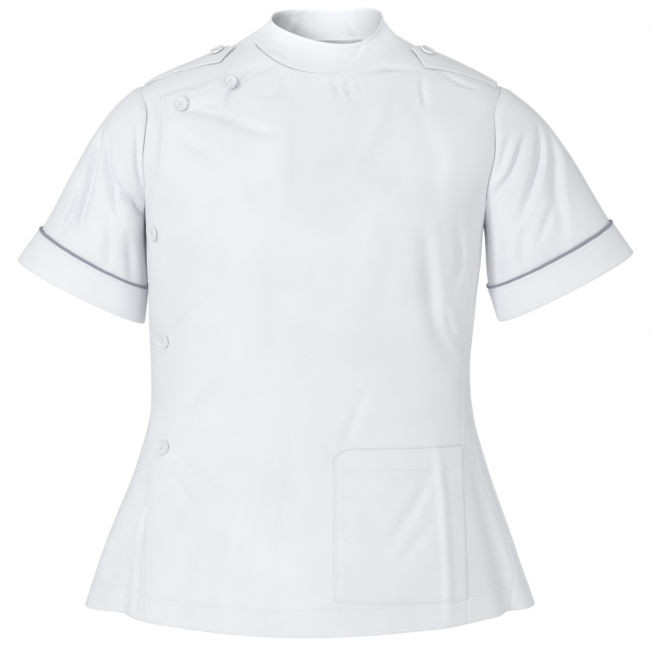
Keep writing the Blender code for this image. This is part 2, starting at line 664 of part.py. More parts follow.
def make_cuff(name):
    """A turned-up cuff, a band that stands a little proud of the sleeve and flares to the hem."""
    columns, rows = 28, 3
    turn = np.arange(columns) * 360.0 / columns
    upper = sleeve_end(name, "pipe", turn, CUFF_PROUD)
    lower = sleeve_end(name, "hem", turn, CUFF_PROUD)
    length = np.linalg.norm(lower - upper, axis=-1, keepdims=True)
    first = (PIPING_RADIUS + PIPING_GAP) / length
    share = np.linspace(0.0, 1.0, rows + 1)[:, None, None]
    grid = upper + (lower - upper) * (first + (1.0 - first) * share)
    normals = away_from(grid, grid_normals(grid, True), grid.mean(axis=1, keepdims=True))
    return wall_mesh("cuff_" + name, grid, normals, DOUBLE_CLOTH, closed=True)


def make_piping(name):
    """The round piping between a sleeve and its cuff."""
    columns, sides = 32, 6
    turn = np.arange(columns) * 360.0 / columns
    ring = sleeve_end(name, "pipe", turn, CUFF_PROUD)
    down = sleeve_end(name, "hem", turn, CUFF_PROUD) - ring
    along = down / np.linalg.norm(down, axis=-1, keepdims=True)
    out = ring - ring.mean(axis=0)
    out -= np.sum(out * along, axis=-1, keepdims=True) * along
    out /= np.linalg.norm(out, axis=-1, keepdims=True)
    side = np.radians(np.arange(sides) * 360.0 / sides)[:, None, None]
    tube = ring + PIPING_RADIUS * (np.cos(side) * out + np.sin(side) * along)
    points = tube.reshape(-1, 3) * MM
    faces = []
    for j in range(sides):
        for i in range(columns):
            a, b = j * columns + i, j * columns + (i + 1) % columns
            faces.append((a, b, (b + columns) % len(points), (a + columns) % len(points)))
    return solid("piping_" + name, points, faces)


def ridge_height(x, y):
    """The height of the shoulder's surface above a point seen from above, found by halving."""
    low, high = np.full_like(x, SHOULDER_SEARCH[0]), np.full_like(x, SHOULDER_SEARCH[1])
    for _ in range(SEARCH_STEPS):
        z = 0.5 * (low + high)
        cosine = np.clip((x - ring_value(z, "centre")) / ring_value(z, "half_width"), -1.0, 1.0)
        depth = np.where(y < 0.0, ring_value(z, "front"), ring_value(z, "back"))
        pinch = np.where(y < 0.0, ring_value(z, "pinch_front"), ring_value(z, "pinch_back"))
        reach = depth * np.sqrt(1.0 - cosine**2) * (1.0 - pinch * cosine**2)
        inside = reach > np.abs(y)
        low, high = np.where(inside, z, low), np.where(inside, high, z)
    return 0.5 * (low + high)


def strap_grid(name):
    """A shoulder strap's points, lifted off the shoulder, along it and across."""
    strap = dict(zip(STRAP_COLUMNS, STRAPS[name]))
    length_count, width_count = 11, 4
    tip_share = STRAP_TIP_LENGTH / abs(strap["end_x"] - strap["tip_x"])
    straight = np.linspace(0.0, 1.0 - tip_share, length_count - 2)
    along = np.concatenate([straight, [1.0 - STRAP_TIP_MIDDLE * tip_share, 1.0 - STRAP_TIP_BLUNTNESS * tip_share]])
    width = np.linspace(-1.0, 1.0, width_count + 1)
    narrow = np.clip((1.0 - along) / tip_share, STRAP_TIP_BLUNTNESS, 1.0)
    y = (strap["end_y"] + (strap["tip_y"] - strap["end_y"]) * along)[:, None]
    across = STRAP_HALF_WIDTH * narrow[:, None] * width[None]
    x = np.broadcast_to((strap["end_x"] + (strap["tip_x"] - strap["end_x"]) * along)[:, None], across.shape)
    x = x - strap["side"] * STRAP_END_CURVE * (y + across) ** 2 * (1.0 - along[:, None]) ** 2
    y = y + across
    grid = np.stack([x, y, ridge_height(x, y)], axis=-1)
    below = grid.mean(axis=(0, 1)) - [0.0, 0.0, STRAP_CENTRE_DROP]
    normals = away_from(grid, grid_normals(grid), below)
    lift = STRAP_LIFT + STRAP_TIP_LIFT * smooth_step((along - STRAP_TIP_LIFT_FROM) / (1.0 - STRAP_TIP_LIFT_FROM))
    grid = grid + lift[:, None, None] * normals
    return grid, away_from(grid, grid_normals(grid), below)


def make_strap(name):
    """A shoulder strap, sewn in at the armhole and buttoned near the neck."""
    grid, normals = strap_grid(name)
    return wall_mesh("strap_" + name, grid, normals, DOUBLE_CLOTH)


def make_pocket():
    """The patch pocket on the wearer's left, caught in the panel seam and the hem's stitching."""
    columns, rows = 9, 9
    across = np.linspace(0.0, 1.0, columns + 1)
    up = np.linspace(0.0, 1.0, rows + 1)
    angle, height = POCKET_INNER_ANGLE, POCKET_INNER_HEIGHT
    cut = np.array([-POCKET_CORNER_CUT[0], POCKET_CORNER_CUT[1]])
    corner = np.array([angle["top"], height["top"] - POCKET_CORNER_CUT[1]])
    inner = np.array([angle["bottom"], height["bottom"]]) * (1 - up[:, None]) + corner * up[:, None]
    seam = smooth_line(np.array(PRINCESS_SEAM))
    seam_height = POCKET_SEAM_HEIGHT["bottom"] * (1 - up) + POCKET_SEAM_HEIGHT["top"] * up
    seam_angle = np.interp(seam_height, seam[:, 1], seam[:, 0])
    outer = drawn_back(np.stack([seam_angle, seam_height], axis=-1), POCKET_SEAM_MARGIN, 1)
    top = evenly(np.stack([corner, corner + cut, outer[-1]]), across)
    bottom = evenly(np.stack([inner[0], outer[0]]), across)
    places = patch(bottom, top, inner, outer, up, (1, 1))
    return body_wall("pocket", places, lap_lift(places) + PATCH_LIFT)


def make_button(name, centre, normal):
    """A round button lying on the cloth."""
    sides = 16
    normal = normal / np.linalg.norm(normal)
    across = np.cross(normal, [0.0, 0.0, 1.0])
    across /= np.linalg.norm(across)
    up = np.cross(across, normal)
    turn = np.radians(np.arange(sides) * 360.0 / sides)[:, None]
    spoke = np.cos(turn) * across + np.sin(turn) * up
    points, faces = [centre + BUTTON_PROFILE[0][1] * BUTTON_THICKNESS * normal], []
    for radius, height in BUTTON_PROFILE[1:]:
        points += list(centre + radius * BUTTON_RADIUS * spoke + height * BUTTON_THICKNESS * normal)
    points.append(centre)
    rings = len(BUTTON_PROFILE) - 1
    for i in range(sides):
        j = (i + 1) % sides
        faces.append((0, 1 + i, 1 + j))
        for k in range(rings - 1):
            low, high = 1 + k * sides, 1 + (k + 1) * sides
            faces.append((low + i, high + i, high + j, low + j))
        foot = 1 + (rings - 1) * sides
        faces.append((len(points) - 1, foot + j, foot + i))
    return solid(name, np.array(points) * MM, faces)


def body_normal(angle, height):
    """The body's outward direction at a place."""
    step = 0.5
    across = body_point(angle + step, height) - body_point(angle - step, height)
    up = body_point(angle, height + step) - body_point(angle, height - step)
    normal = np.cross(across, up)
    outward = body_point(angle, height) * [1.0, 1.0, 0.0]
    return normal if normal @ outward > 0.0 else -normal


def make_front_buttons():
    """The buttons down the lap."""
    made = []
    for number, (angle, height) in enumerate(FRONT_BUTTONS, start=1):
        normal = body_normal(angle, height)
        normal /= np.linalg.norm(normal)
        lift = float(lap_lift(np.array([angle, height]))) + CLOTH / 2 + BUTTON_STAND_OFF
        made.append(make_button(f"button_{number}", body_point(angle, height) + lift * normal, normal))
    return made


def make_strap_button(name):
    """The button near a shoulder strap's tip."""
    strap = dict(zip(STRAP_COLUMNS, STRAPS[name]))
    grid, normals = strap_grid(name)
    middle = grid.shape[1] // 2
    wanted = strap["tip_x"] + strap["side"] * STRAP_BUTTON_FROM_TIP
    row = int(np.argmin(np.abs(grid[:, middle, 0] - wanted)))
    normal = normals[row, middle]
    lift = DOUBLE_CLOTH / 2 + BUTTON_STAND_OFF
    return make_button("strap_button_" + name, grid[row, middle] + lift * normal, normal)


def main():
    """Build the jacket, one object for each piece."""
    clear_scene()
    cloth = material("white poly-cotton twill", CLOTH_COLOUR, 0.85)
    piping = material("slate blue piping", PIPING_COLOUR, 0.75)
    button = material("white moulded button", BUTTON_COLOUR, 0.35)
    pieces = [make_outer_front(), make_under_front(), make_side_panel(), make_back(), make_collar(), make_pocket()]
    for name in SLEEVES:
        pieces += [make_sleeve(name), make_cuff(name), make_strap(name)]
        finish(make_piping(name), piping)
        finish(make_strap_button(name), button)
    for piece in pieces:
        finish(piece, cloth)
    for made in make_front_buttons():
        finish(made, button)


main()
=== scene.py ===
"""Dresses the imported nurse's jacket: cloth with its creases, sewing, piping, buttons, camera and light.

The cloth is a white polyester-cotton twill, filled out as if worn. Sizes are in millimetres and angles in
degrees, in the frame of the model: +Z up, the front facing -Y and the wearer's left at +X.
"""

from __future__ import annotations

import logging
import math
from collections.abc import Callable, Sequence
from dataclasses import dataclass, field
from enum import Enum

import bpy
import numpy as np
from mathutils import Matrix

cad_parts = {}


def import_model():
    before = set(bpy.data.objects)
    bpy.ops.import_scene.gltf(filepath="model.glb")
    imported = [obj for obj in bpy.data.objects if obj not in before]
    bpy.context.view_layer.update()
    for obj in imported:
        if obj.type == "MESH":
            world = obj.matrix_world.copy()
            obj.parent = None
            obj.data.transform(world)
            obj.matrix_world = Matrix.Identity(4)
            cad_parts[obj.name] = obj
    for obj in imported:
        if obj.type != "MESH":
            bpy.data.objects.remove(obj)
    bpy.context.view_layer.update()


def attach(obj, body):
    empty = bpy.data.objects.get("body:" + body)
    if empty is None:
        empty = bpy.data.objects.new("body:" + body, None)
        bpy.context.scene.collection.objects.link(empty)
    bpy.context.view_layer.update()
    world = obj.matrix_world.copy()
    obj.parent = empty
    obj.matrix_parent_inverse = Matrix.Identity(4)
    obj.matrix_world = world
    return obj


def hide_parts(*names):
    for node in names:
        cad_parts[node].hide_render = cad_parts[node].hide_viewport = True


Array = np.ndarray
Surface = Callable[[Array, Array], Array]
Pair = tuple[float, float]
Places = tuple[Pair, ...]
Point = tuple[float, float, float]
Piece = bpy.types.Object
Material = bpy.types.Material
Tree = bpy.types.NodeTree
Node = bpy.types.Node
Settings = dict[str | int, object]
Links = dict[str | int, bpy.types.NodeSocket]

LOG = logging.getLogger("nurse_jacket")
MM = 0.001
BODY = "root"


class Side(Enum):
    """The wearer's side, with its sign along X."""

    LEFT = 1
    RIGHT = -1

    @property
    def label(self) -> str:
        """The side's name in lower case."""
        return self.name.lower()


class Slot(Enum):
    """The record's material slots."""

    CLOTH = "cloth"
    PIPING = "piping"
    BUTTON = "button"


class Edge(Enum):
    """The edges of a grid: rows run from left to right, and are stacked from the bottom to the top."""

    LEFT = "left"
    RIGHT = "right"
    BOTTOM = "bottom"
    TOP = "top"


# ---- Colours and finishes


def linear(hex_colour: str) -> tuple[float, float, float, float]:
    """Turn an sRGB hex colour into linear light.

    Args:
        hex_colour: six hex digits after a hash.

    Returns:
        Red, green, blue and an alpha of 1.
    """
    parts = [int(hex_colour[i : i + 2], 16) / 255.0 for i in (1, 3, 5)]
    curve = [c / 12.92 if c <= 0.04045 else ((c + 0.055) / 1.055) ** 2.4 for c in parts]
    return (curve[0], curve[1], curve[2], 1.0)


def wired(tree: Tree, node: Node, settings: Settings | None = None, links: Links | None = None) -> Node:
    """Give a node its settings and the links into it.

    Args:
        tree: the node tree.
        node: the node.
        settings: attributes of the node, or values of its inputs where the key names an input.
        links: for each input's name or number, the output that feeds it.

    Returns:
        The same node.
    """
    for key, value in (settings or {}).items():
        if isinstance(key, str) and hasattr(node, key):
            setattr(node, key, value)
        else:
            node.inputs[key].default_value = value
    for key, output in (links or {}).items():
        tree.links.new(output, node.inputs[key])
    return node


def add_node(tree: Tree, kind: str, settings: Settings | None = None, links: Links | None = None) -> Node:
    """Add a shader node of a kind to a tree, with its settings and the links into it."""
    return wired(tree, tree.nodes.new("ShaderNode" + kind), settings, links)


def new_material(name: str) -> tuple[Material, Tree, Node]:
    """Make a material with a Principled shader.

    Args:
        name: what the finish is called.

    Returns:
        The material, its node tree and its shader.
    """
    made = bpy.data.materials.new(name)
    made.use_nodes = True
    return made, made.node_tree, made.node_tree.nodes["Principled BSDF"]


# One wave of Blender's wave texture covers this share of a unit at scale 1.
WAVE_PERIOD = 2.0 * math.pi / 20.0


@dataclass(frozen=True)
class TwillCloth:
    """Woven twill of spun polyester and cotton, bleached white: a matt, close surface with fine slanting ribs
    and slightly uneven threads. The ribs are drawn twice as coarse as the real 0.45 mm, so that they show."""

    name: str = "white poly-cotton twill"
    colour: str = "#f1f2f4"
    shade: str = "#e8eaee"
    rib_mm: float = 0.9
    slub_mm: float = 2.4
    cloud_mm: float = 70.0
    rib_turn: float = 63.0
    bump_mm: float = 0.05
    roughness: float = 0.86
    sheen: float = 0.08

    def make(self) -> Material:
        """Build the material: ribs are waves across the piece's own weave map, turned to slant. Slubs and
        soft clouds are noises that mix the two colours.

        Returns:
            The material.
        """
        made, tree, shader = new_material(self.name)
        weave = add_node(tree, "UVMap", {"uv_map": "weave"}).outputs[0]
        place = add_node(tree, "TexCoord").outputs["Object"]
        slant = {"Rotation": (0.0, 0.0, math.radians(self.rib_turn))}
        turned = add_node(tree, "Mapping", slant, {"Vector": weave}).outputs[0]
        scale = WAVE_PERIOD / (self.rib_mm * MM)
        wave = {"Scale": scale, "Distortion": 0.6, "Detail": 1.0, "Detail Scale": 0.5}
        ribs = add_node(tree, "TexWave", wave, {"Vector": turned}).outputs["Fac"]
        slubs, clouds = (
            add_node(tree, "TexNoise", {"Scale": 1.0 / (size * MM), "Detail": detail}, {"Vector": where})
            for size, detail, where in ((self.slub_mm, 3.0, weave), (self.cloud_mm, 2.0, place))
        )
        slubs, clouds = slubs.outputs["Fac"], clouds.outputs["Fac"]
        share = {"operation": "MULTIPLY_ADD", 1: 0.55}
        mixed = add_node(tree, "Math", share, {0: slubs, 2: clouds}).outputs[0]
        tone = add_node(tree, "MapRange", {"From Min": 0.45, "From Max": 1.15}, {"Value": mixed}).outputs[0]
        tints = {"data_type": "RGBA", 6: linear(self.shade), 7: linear(self.colour)}
        colour = add_node(tree, "Mix", tints, {"Factor": tone}).outputs[2]
        share = {"operation": "MULTIPLY_ADD", 1: 0.6}
        height = add_node(tree, "Math", share, {0: slubs, 2: ribs}).outputs[0]
        relief = {"Strength": 0.5, "Distance": self.bump_mm * MM}
        bump = add_node(tree, "Bump", relief, {"Height": height}).outputs[0]
        surface = {"Sheen Weight": self.sheen, "Sheen Roughness": 0.5, "Specular IOR Level": 0.3}
        wired(tree, shader, surface | {"Roughness": self.roughness}, {"Base Color": colour, "Normal": bump})
        return made


@dataclass(frozen=True)
class PipingCord:
    """Bias-cut cotton folded round a cord: slate blue, matt, with threads that cross the cord at a slant."""

    name: str = "slate blue bias piping"
    colour: str = "#a2a7b4"
    shade: str = "#9095a2"
    thread_mm: float = 0.8
    bump_mm: float = 0.06
    roughness: float = 0.8

    def make(self) -> Material:
        """Build the material: threads are slanting waves along the cord.

        Returns:
            The material.
        """
        made, tree, shader = new_material(self.name)
        weave = add_node(tree, "UVMap", {"uv_map": "weave"}).outputs[0]
        bias = {"Rotation": (0.0, 0.0, math.radians(45.0))}
        turned = add_node(tree, "Mapping", bias, {"Vector": weave}).outputs[0]
        wave = {"Scale": WAVE_PERIOD / (self.thread_mm * MM), "Distortion": 0.4}
        threads = add_node(tree, "TexWave", wave, {"Vector": turned}).outputs["Fac"]
        tints = {"data_type": "RGBA", 6: linear(self.shade), 7: linear(self.colour)}
        colour = add_node(tree, "Mix", tints, {"Factor": threads}).outputs[2]
        relief = {"Strength": 0.6, "Distance": self.bump_mm * MM}
        bump = add_node(tree, "Bump", relief, {"Height": threads}).outputs[0]
        surface = {"Roughness": self.roughness, "Specular IOR Level": 0.3}
        wired(tree, shader, surface, {"Base Color": colour, "Normal": bump})
        return made


@dataclass(frozen=True)
class SewingThread:
    """Spun polyester thread, white, twisted: a little shinier than the cloth."""

    name: str = "white polyester thread"
    colour: str = "#eceef1"
    shade: str = "#dcdfe4"
    fibre_mm: float = 0.7
    roughness: float = 0.55

    def make(self) -> Material:
        """Build the material: a fine noise breaks the colour of each stitch.

        Returns:
            The material.
        """
        made, tree, shader = new_material(self.name)
        place = add_node(tree, "TexCoord").outputs["Object"]
        size = {"Scale": 1.0 / (self.fibre_mm * MM)}
        fibres = add_node(tree, "TexNoise", size, {"Vector": place}).outputs["Fac"]
        tints = {"data_type": "RGBA", 6: linear(self.shade), 7: linear(self.colour)}
        colour = add_node(tree, "Mix", tints, {"Factor": fibres}).outputs[2]
        wired(tree, shader, {"Roughness": self.roughness}, {"Base Color": colour})
        return made


@dataclass(frozen=True)
class MouldedButton:
    """Cast polyester buttons, white: smooth, with a soft shine and a faint cloudiness."""

    name: str = "white cast polyester button"
    colour: str = "#f0f1f2"
    shade: str = "#e2e4e8"
    cloud_mm: float = 6.0
    roughness: float = 0.32

    def make(self) -> Material:
        """Build the material: one soft noise makes the cloudiness and the wear on the shine.

        Returns:
            The material.
        """
        made, tree, shader = new_material(self.name)
        place = add_node(tree, "TexCoord").outputs["Object"]
        size = {"Scale": 1.0 / (self.cloud_mm * MM), "Detail": 2.0}
        cloud = add_node(tree, "TexNoise", size, {"Vector": place}).outputs["Fac"]
        tints = {"data_type": "RGBA", 6: linear(self.shade), 7: linear(self.colour)}
        colour = add_node(tree, "Mix", tints, {"Factor": cloud}).outputs[2]
        wear = {"To Min": self.roughness - 0.06, "To Max": self.roughness + 0.1}
        rough = add_node(tree, "MapRange", wear, {"Value": cloud}).outputs[0]
        wired(tree, shader, {"IOR": 1.52}, {"Base Color": colour, "Roughness": rough})
        return made


@dataclass(frozen=True)
class Finishes:
    """The finishes, made once."""

    cloth: Material
    piping: Material
    thread: Material
    button: Material

    @classmethod
    def make(cls) -> Finishes:
        """Make every finish."""
        return cls(TwillCloth().make(), PipingCord().make(), SewingThread().make(), MouldedButton().make())


# ---- Curves, grids and shells


def smooth_step(value: Array) -> Array:
    """0 below 0, 1 above 1, and an S curve, 3 t squared minus 2 t cubed, between."""
    t = np.clip(value, 0.0, 1.0)
    return t * t * (3.0 - 2.0 * t)


def bell(value: Array) -> Array:
    """A bell curve: e to the power of minus the square."""
    return np.exp(-(value**2))


def lengths(points: Array, axis: int = -1) -> Array:
    """Length of each vector along an axis, which is kept."""
    return np.linalg.norm(points, axis=axis, keepdims=True)


def unit(vectors: Array) -> Array:
    """The vectors at length 1."""
    return vectors / np.maximum(lengths(vectors), 1e-12)


def hermite_blend(t: Array, start: Array, first: Array, end: Array, last: Array) -> Array:
    """Cubic Hermite blend: from a start with a first pull to an end with a last pull, at a share of the way.

    Args:
        t: share of the way.
        start: where it starts.
        first: the direction and speed there.
        end: where it ends.
        last: the direction and speed there.

    Returns:
        The blend's values.
    """
    return (
        (2 * t**3 - 3 * t**2 + 1) * start
        + (t**3 - 2 * t**2 + t) * first
        + (3 * t**2 - 2 * t**3) * end
        + (t**3 - t**2) * last
    )


def hermite(knots: Array, values: Array, where: Array) -> Array:
    """A smooth curve through knots: cubic Hermite pieces whose slopes are the central differences.

    Args:
        knots: rising positions.
        values: a value or a point at each knot.
        where: the positions asked for.

    Returns:
        The curve's values there.
    """
    slopes = np.gradient(values, knots, axis=0)
    at = np.clip(where, knots[0], knots[-1])
    i = np.clip(np.searchsorted(knots, at) - 1, 0, len(knots) - 2)
    step = knots[i + 1] - knots[i]
    t = (at - knots[i]) / step
    if values.ndim > 1:
        step, t = step[..., None], t[..., None]
    return hermite_blend(t, values[i], step * slopes[i], values[i + 1], step * slopes[i + 1])


def smooth_line(places: Sequence[Sequence[float]], per_step: int = 8) -> Array:
    """A smooth curve through a few places, as a denser line.

    Args:
        places: the places.
        per_step: how many steps each gap is cut into.

    Returns:
        The line's places.
    """
    table = np.asarray(places, float)
    knots = np.arange(len(table), dtype=float)
    return hermite(knots, table, np.linspace(0, len(table) - 1, per_step * (len(table) - 1) + 1))


def blend(first: Array, last: Array, share: Array) -> Array:
    """The straight blend from one value to another."""
    return first * (1.0 - share) + last * share


def run_of(points: Array, axis: int = 0) -> Array:
    """How far along an axis each point lies: the summed lengths of the steps before it, from 0."""
    steps = np.linalg.norm(np.diff(points, axis=axis), axis=-1)
    return np.concatenate([np.zeros_like(steps.take([0], axis=axis)), np.cumsum(steps, axis=axis)], axis=axis)


def from_edge(grid: Array, edge: Edge) -> Array:
    """How far each point lies from one edge, along its row or its column.

    Args:
        grid: points, rows first.
        edge: which edge.

    Returns:
        One distance a point.
    """
    run = run_of(grid, 1 if edge in (Edge.LEFT, Edge.RIGHT) else 0)
    if edge is Edge.RIGHT:
        return run[:, -1:] - run
    return run[-1:] - run if edge is Edge.TOP else run


def joined(*lines: Array) -> Array:
    """Several lines end to end, with the shared points once."""
    return np.concatenate([lines[0]] + [line[1:] for line in lines[1:]])


# About how many millimetres of cloth a degree round the body covers.
MM_PER_DEGREE = 3.4


def patch(bottom: Array, top: Array, left: Array, right: Array, up: Array, fade: tuple[int, int]) -> Array:
    """Fill four edges with a grid of places.

    Each row runs between the bottom and the top by its share up. What the left and right edges bend away
    from the straight line between their ends is added, times a power of the distance from the other edge.

    Args:
        bottom: places along the bottom edge.
        top: as many places along the top edge.
        left: places up the left edge.
        right: as many places up the right edge.
        up: each row's share of the way from the bottom to the top.
        fade: the power for the left and for the right edge.

    Returns:
        The grid, rows first.
    """
    u = np.linspace(0.0, 1.0, len(bottom))[None, :, None]
    v = up[:, None, None]
    left_bend = left - ((1 - up[:, None]) * bottom[0] + up[:, None] * top[0])
    right_bend = right - ((1 - up[:, None]) * bottom[-1] + up[:, None] * top[-1])
    rows = (1 - v) * bottom[None] + v * top[None]
    return rows + (1 - u) ** fade[0] * left_bend[:, None] + u ** fade[1] * right_bend[:, None]


def evened(places: Array, rounds: int = 20) -> Array:
    """Even out the inside of a grid, so that no cells fold over, and leave its edges.

    Each round moves every inner place to where the equation a x_uu - 2 b x_uv + c x_vv = 0 puts it between
    its neighbours. Here a and c are the squared steps up and across, and b is their product.

    Args:
        places: the grid of angles and heights, rows first.
        rounds: how often the places are moved.

    Returns:
        The new grid.
    """
    grid = places * [MM_PER_DEGREE, 1.0]
    for _ in range(rounds):
        across = grid[1:-1, 2:] - grid[1:-1, :-2]
        up = grid[2:, 1:-1] - grid[:-2, 1:-1]
        slant = grid[2:, 2:] - grid[2:, :-2] - grid[:-2, 2:] + grid[:-2, :-2]
        a = np.sum(up**2, axis=-1, keepdims=True)
        b = np.sum(across * up, axis=-1, keepdims=True)
        c = np.sum(across**2, axis=-1, keepdims=True)
        beside = a * (grid[1:-1, 2:] + grid[1:-1, :-2]) + c * (grid[2:, 1:-1] + grid[:-2, 1:-1])
        moved = (beside - 0.5 * b * slant) / (2.0 * (a + c))
        grid = grid.copy()
        grid[1:-1, 1:-1] = moved
    return grid / [MM_PER_DEGREE, 1.0]


def closer_at_edges(places: Array, count: int, edge_share: float = 0.012, edge_count: int = 5) -> Array:
    """Resample a grid's columns so that a few lie close together along both side edges.

    Args:
        places: the grid, rows first.
        count: how many even columns there are between the edges' own.
        edge_share: how much of the width the close columns cover.
        edge_count: how many close columns each edge has.

    Returns:
        The new grid, by straight lines between the old columns.
    """
    near = np.linspace(0.0, edge_share, edge_count + 1)
    even = np.linspace(edge_share, 1.0 - edge_share, count + 1)[1:-1]
    share = np.concatenate([near, even, 1.0 - near[::-1]])
    at = share * (places.shape[1] - 1)
    i = np.clip(at.astype(int), 0, places.shape[1] - 2)
    return blend(places[:, i], places[:, i + 1], (at - i)[None, :, None])


def grid_normals(grid: Array, closed: bool = False) -> Array:
    """Unit normals of a grid: the cross product of its central differences across and up.

    Args:
        grid: points, rows first.
        closed: whether each row's ends join.

    Returns:
        One normal a point.
    """
    if closed:
        wide = np.concatenate([grid[:, -1:], grid, grid[:, :1]], axis=1)
        across = (wide[:, 2:] - wide[:, :-2]) / 2.0
    else:
        across = np.gradient(grid, axis=1)
    return unit(np.cross(across, np.gradient(grid, axis=0)))


def outward(grid: Array, closed: bool = False, centre: Array | None = None) -> Array:
    """Grid normals, turned so that on the whole they point away from a centre.

    Args:
        grid: points, rows first.
        closed: whether each row's ends join.
        centre: a point or a point for each row, in place of the upright line through the origin.

    Returns:
        One normal a point.
    """
    normals = grid_normals(grid, closed)
    away = grid - (grid * [0.0, 0.0, 1.0] if centre is None else centre)
    return -normals if np.sum(away * normals) < 0.0 else normals


def unevenness(points: Array, size: float, seed: int) -> Array:
    """Soft unevenness from about -1 to 1: the mean of eight sine waves near one length, in seeded directions.

    Args:
        points: where it is asked for.
        size: the waves' length.
        seed: which set of waves.

    Returns:
        One value a point.
    """
    draw = np.random.default_rng(seed)
    directions = unit(draw.normal(size=(8, 3))) / (size * draw.uniform(0.7, 1.4, (8, 1)))
    phases = draw.uniform(0.0, 2.0 * math.pi, 8)
    return 1.7 * np.sin(2.0 * math.pi * points @ directions.T + phases).mean(axis=-1)


def weave_map(grid: Array, closed: bool = False) -> Array:
    """Flat coordinates of a grid in metres: lengths along its rows, from the middle, and up its columns.

    Args:
        grid: points, rows first.
        closed: whether each row's ends join, so that lengths start at its first point.

    Returns:
        A pair a point.
    """
    across = run_of(grid, 1)
    if not closed:
        across = across - across[:, across.shape[1] // 2][:, None]
    return np.stack([across, run_of(grid, 0)], axis=-1) * MM


def new_object(
    name: str, points: Array, faces: list, material: Material, uv: Array | None = None, sharp: float = 50.0
) -> Piece:
    """Make an object at the origin from points in millimetres.

    Args:
        name: the object's name.
        points: its points.
        faces: lists of point numbers, each facing outwards.
        material: its finish.
        uv: weave coordinates, one pair a point.
        sharp: the angle in degrees above which an edge shades sharp.

    Returns:
        The object, linked to the scene.
    """
    mesh = bpy.data.meshes.new(name)
    mesh.from_pydata((points * MM).tolist(), [], faces)
    if uv is not None:
        corners = np.empty(len(mesh.loops), dtype=np.int32)
        mesh.loops.foreach_get("vertex_index", corners)
        mesh.uv_layers.new(name="weave").data.foreach_set("uv", uv[corners].astype(np.float32).ravel())
    mesh.materials.append(material)
    mesh.shade_smooth()
    mesh.set_sharp_from_angle(angle=math.radians(sharp))
    made = bpy.data.objects.new(name, mesh)
    bpy.context.scene.collection.objects.link(made)
    return made


def shell(
    name: str, grid: Array, normals: Array, thickness: float, material: Material, closed: bool = False
) -> Piece:
    """A closed sheet of even thickness about a grid, with rounded edges.

    Points go half the thickness out and in along the normals. Round each free edge a middle line, half the
    thickness beyond the edge, joins the two layers.

    Args:
        name: the object's name.
        grid: the sheet's middle surface, rows first.
        normals: outward normals.
        thickness: the cloth's thickness.
        material: its finish.
        closed: whether each row's ends join.

    Returns:
        The object.
    """
    rows, columns = grid.shape[:2]
    half = 0.5 * thickness
    index = np.arange(rows * columns).reshape(rows, columns)
    right = np.roll(index, -1, axis=1) if closed else index[:, 1:]
    left = index if closed else index[:, :-1]
    outer = np.stack([left[:-1], right[:-1], right[1:], left[1:]], axis=-1).reshape(-1, 4)
    inner = outer[:, ::-1] + rows * columns
    if closed:
        loops = [index[0], index[-1][::-1]]
    else:
        loops = [np.concatenate([index[0, :-1], index[:-1, -1], index[-1, :0:-1], index[:0:-1, 0]])]
    flat, flat_normals = grid.reshape(-1, 3), normals.reshape(-1, 3)
    points = [flat + half * flat_normals, flat - half * flat_normals]
    faces = [outer, inner]
    uv = weave_map(grid, closed).reshape(-1, 2)
    maps = [uv, uv]
    start = 2 * rows * columns
    for loop in loops:
        j, i = np.divmod(loop, columns)
        inside = np.clip(j, 1, rows - 2) * columns + (i if closed else np.clip(i, 1, columns - 2))
        away = flat[loop] - flat[inside]
        away = unit(away - np.sum(away * flat_normals[loop], axis=-1, keepdims=True) * flat_normals[loop])
        points.append(flat[loop] + half * away)
        maps.append(uv[loop])
        middle = start + np.arange(len(loop))
        after, middle_after = np.roll(loop, -1), np.roll(middle, -1)
        faces.append(np.stack([after, loop, middle, middle_after], axis=-1))
        faces.append(np.stack([middle_after, middle, loop + rows * columns, after + rows * columns], axis=-1))
        start += len(loop)
    quads = np.concatenate(faces)
    if np.sum(grid_normals(grid, closed) * normals) < 0.0:
        quads = quads[:, ::-1]
    return new_object(name, np.concatenate(points), quads.tolist(), material, np.concatenate(maps))


# How far a crease reaches, the window that its distance is averaged over and its spread, in crease widths.
CREASE_REACH = 7.0
CREASE_WINDOW = 2.2
CREASE_SPREAD = 1.12


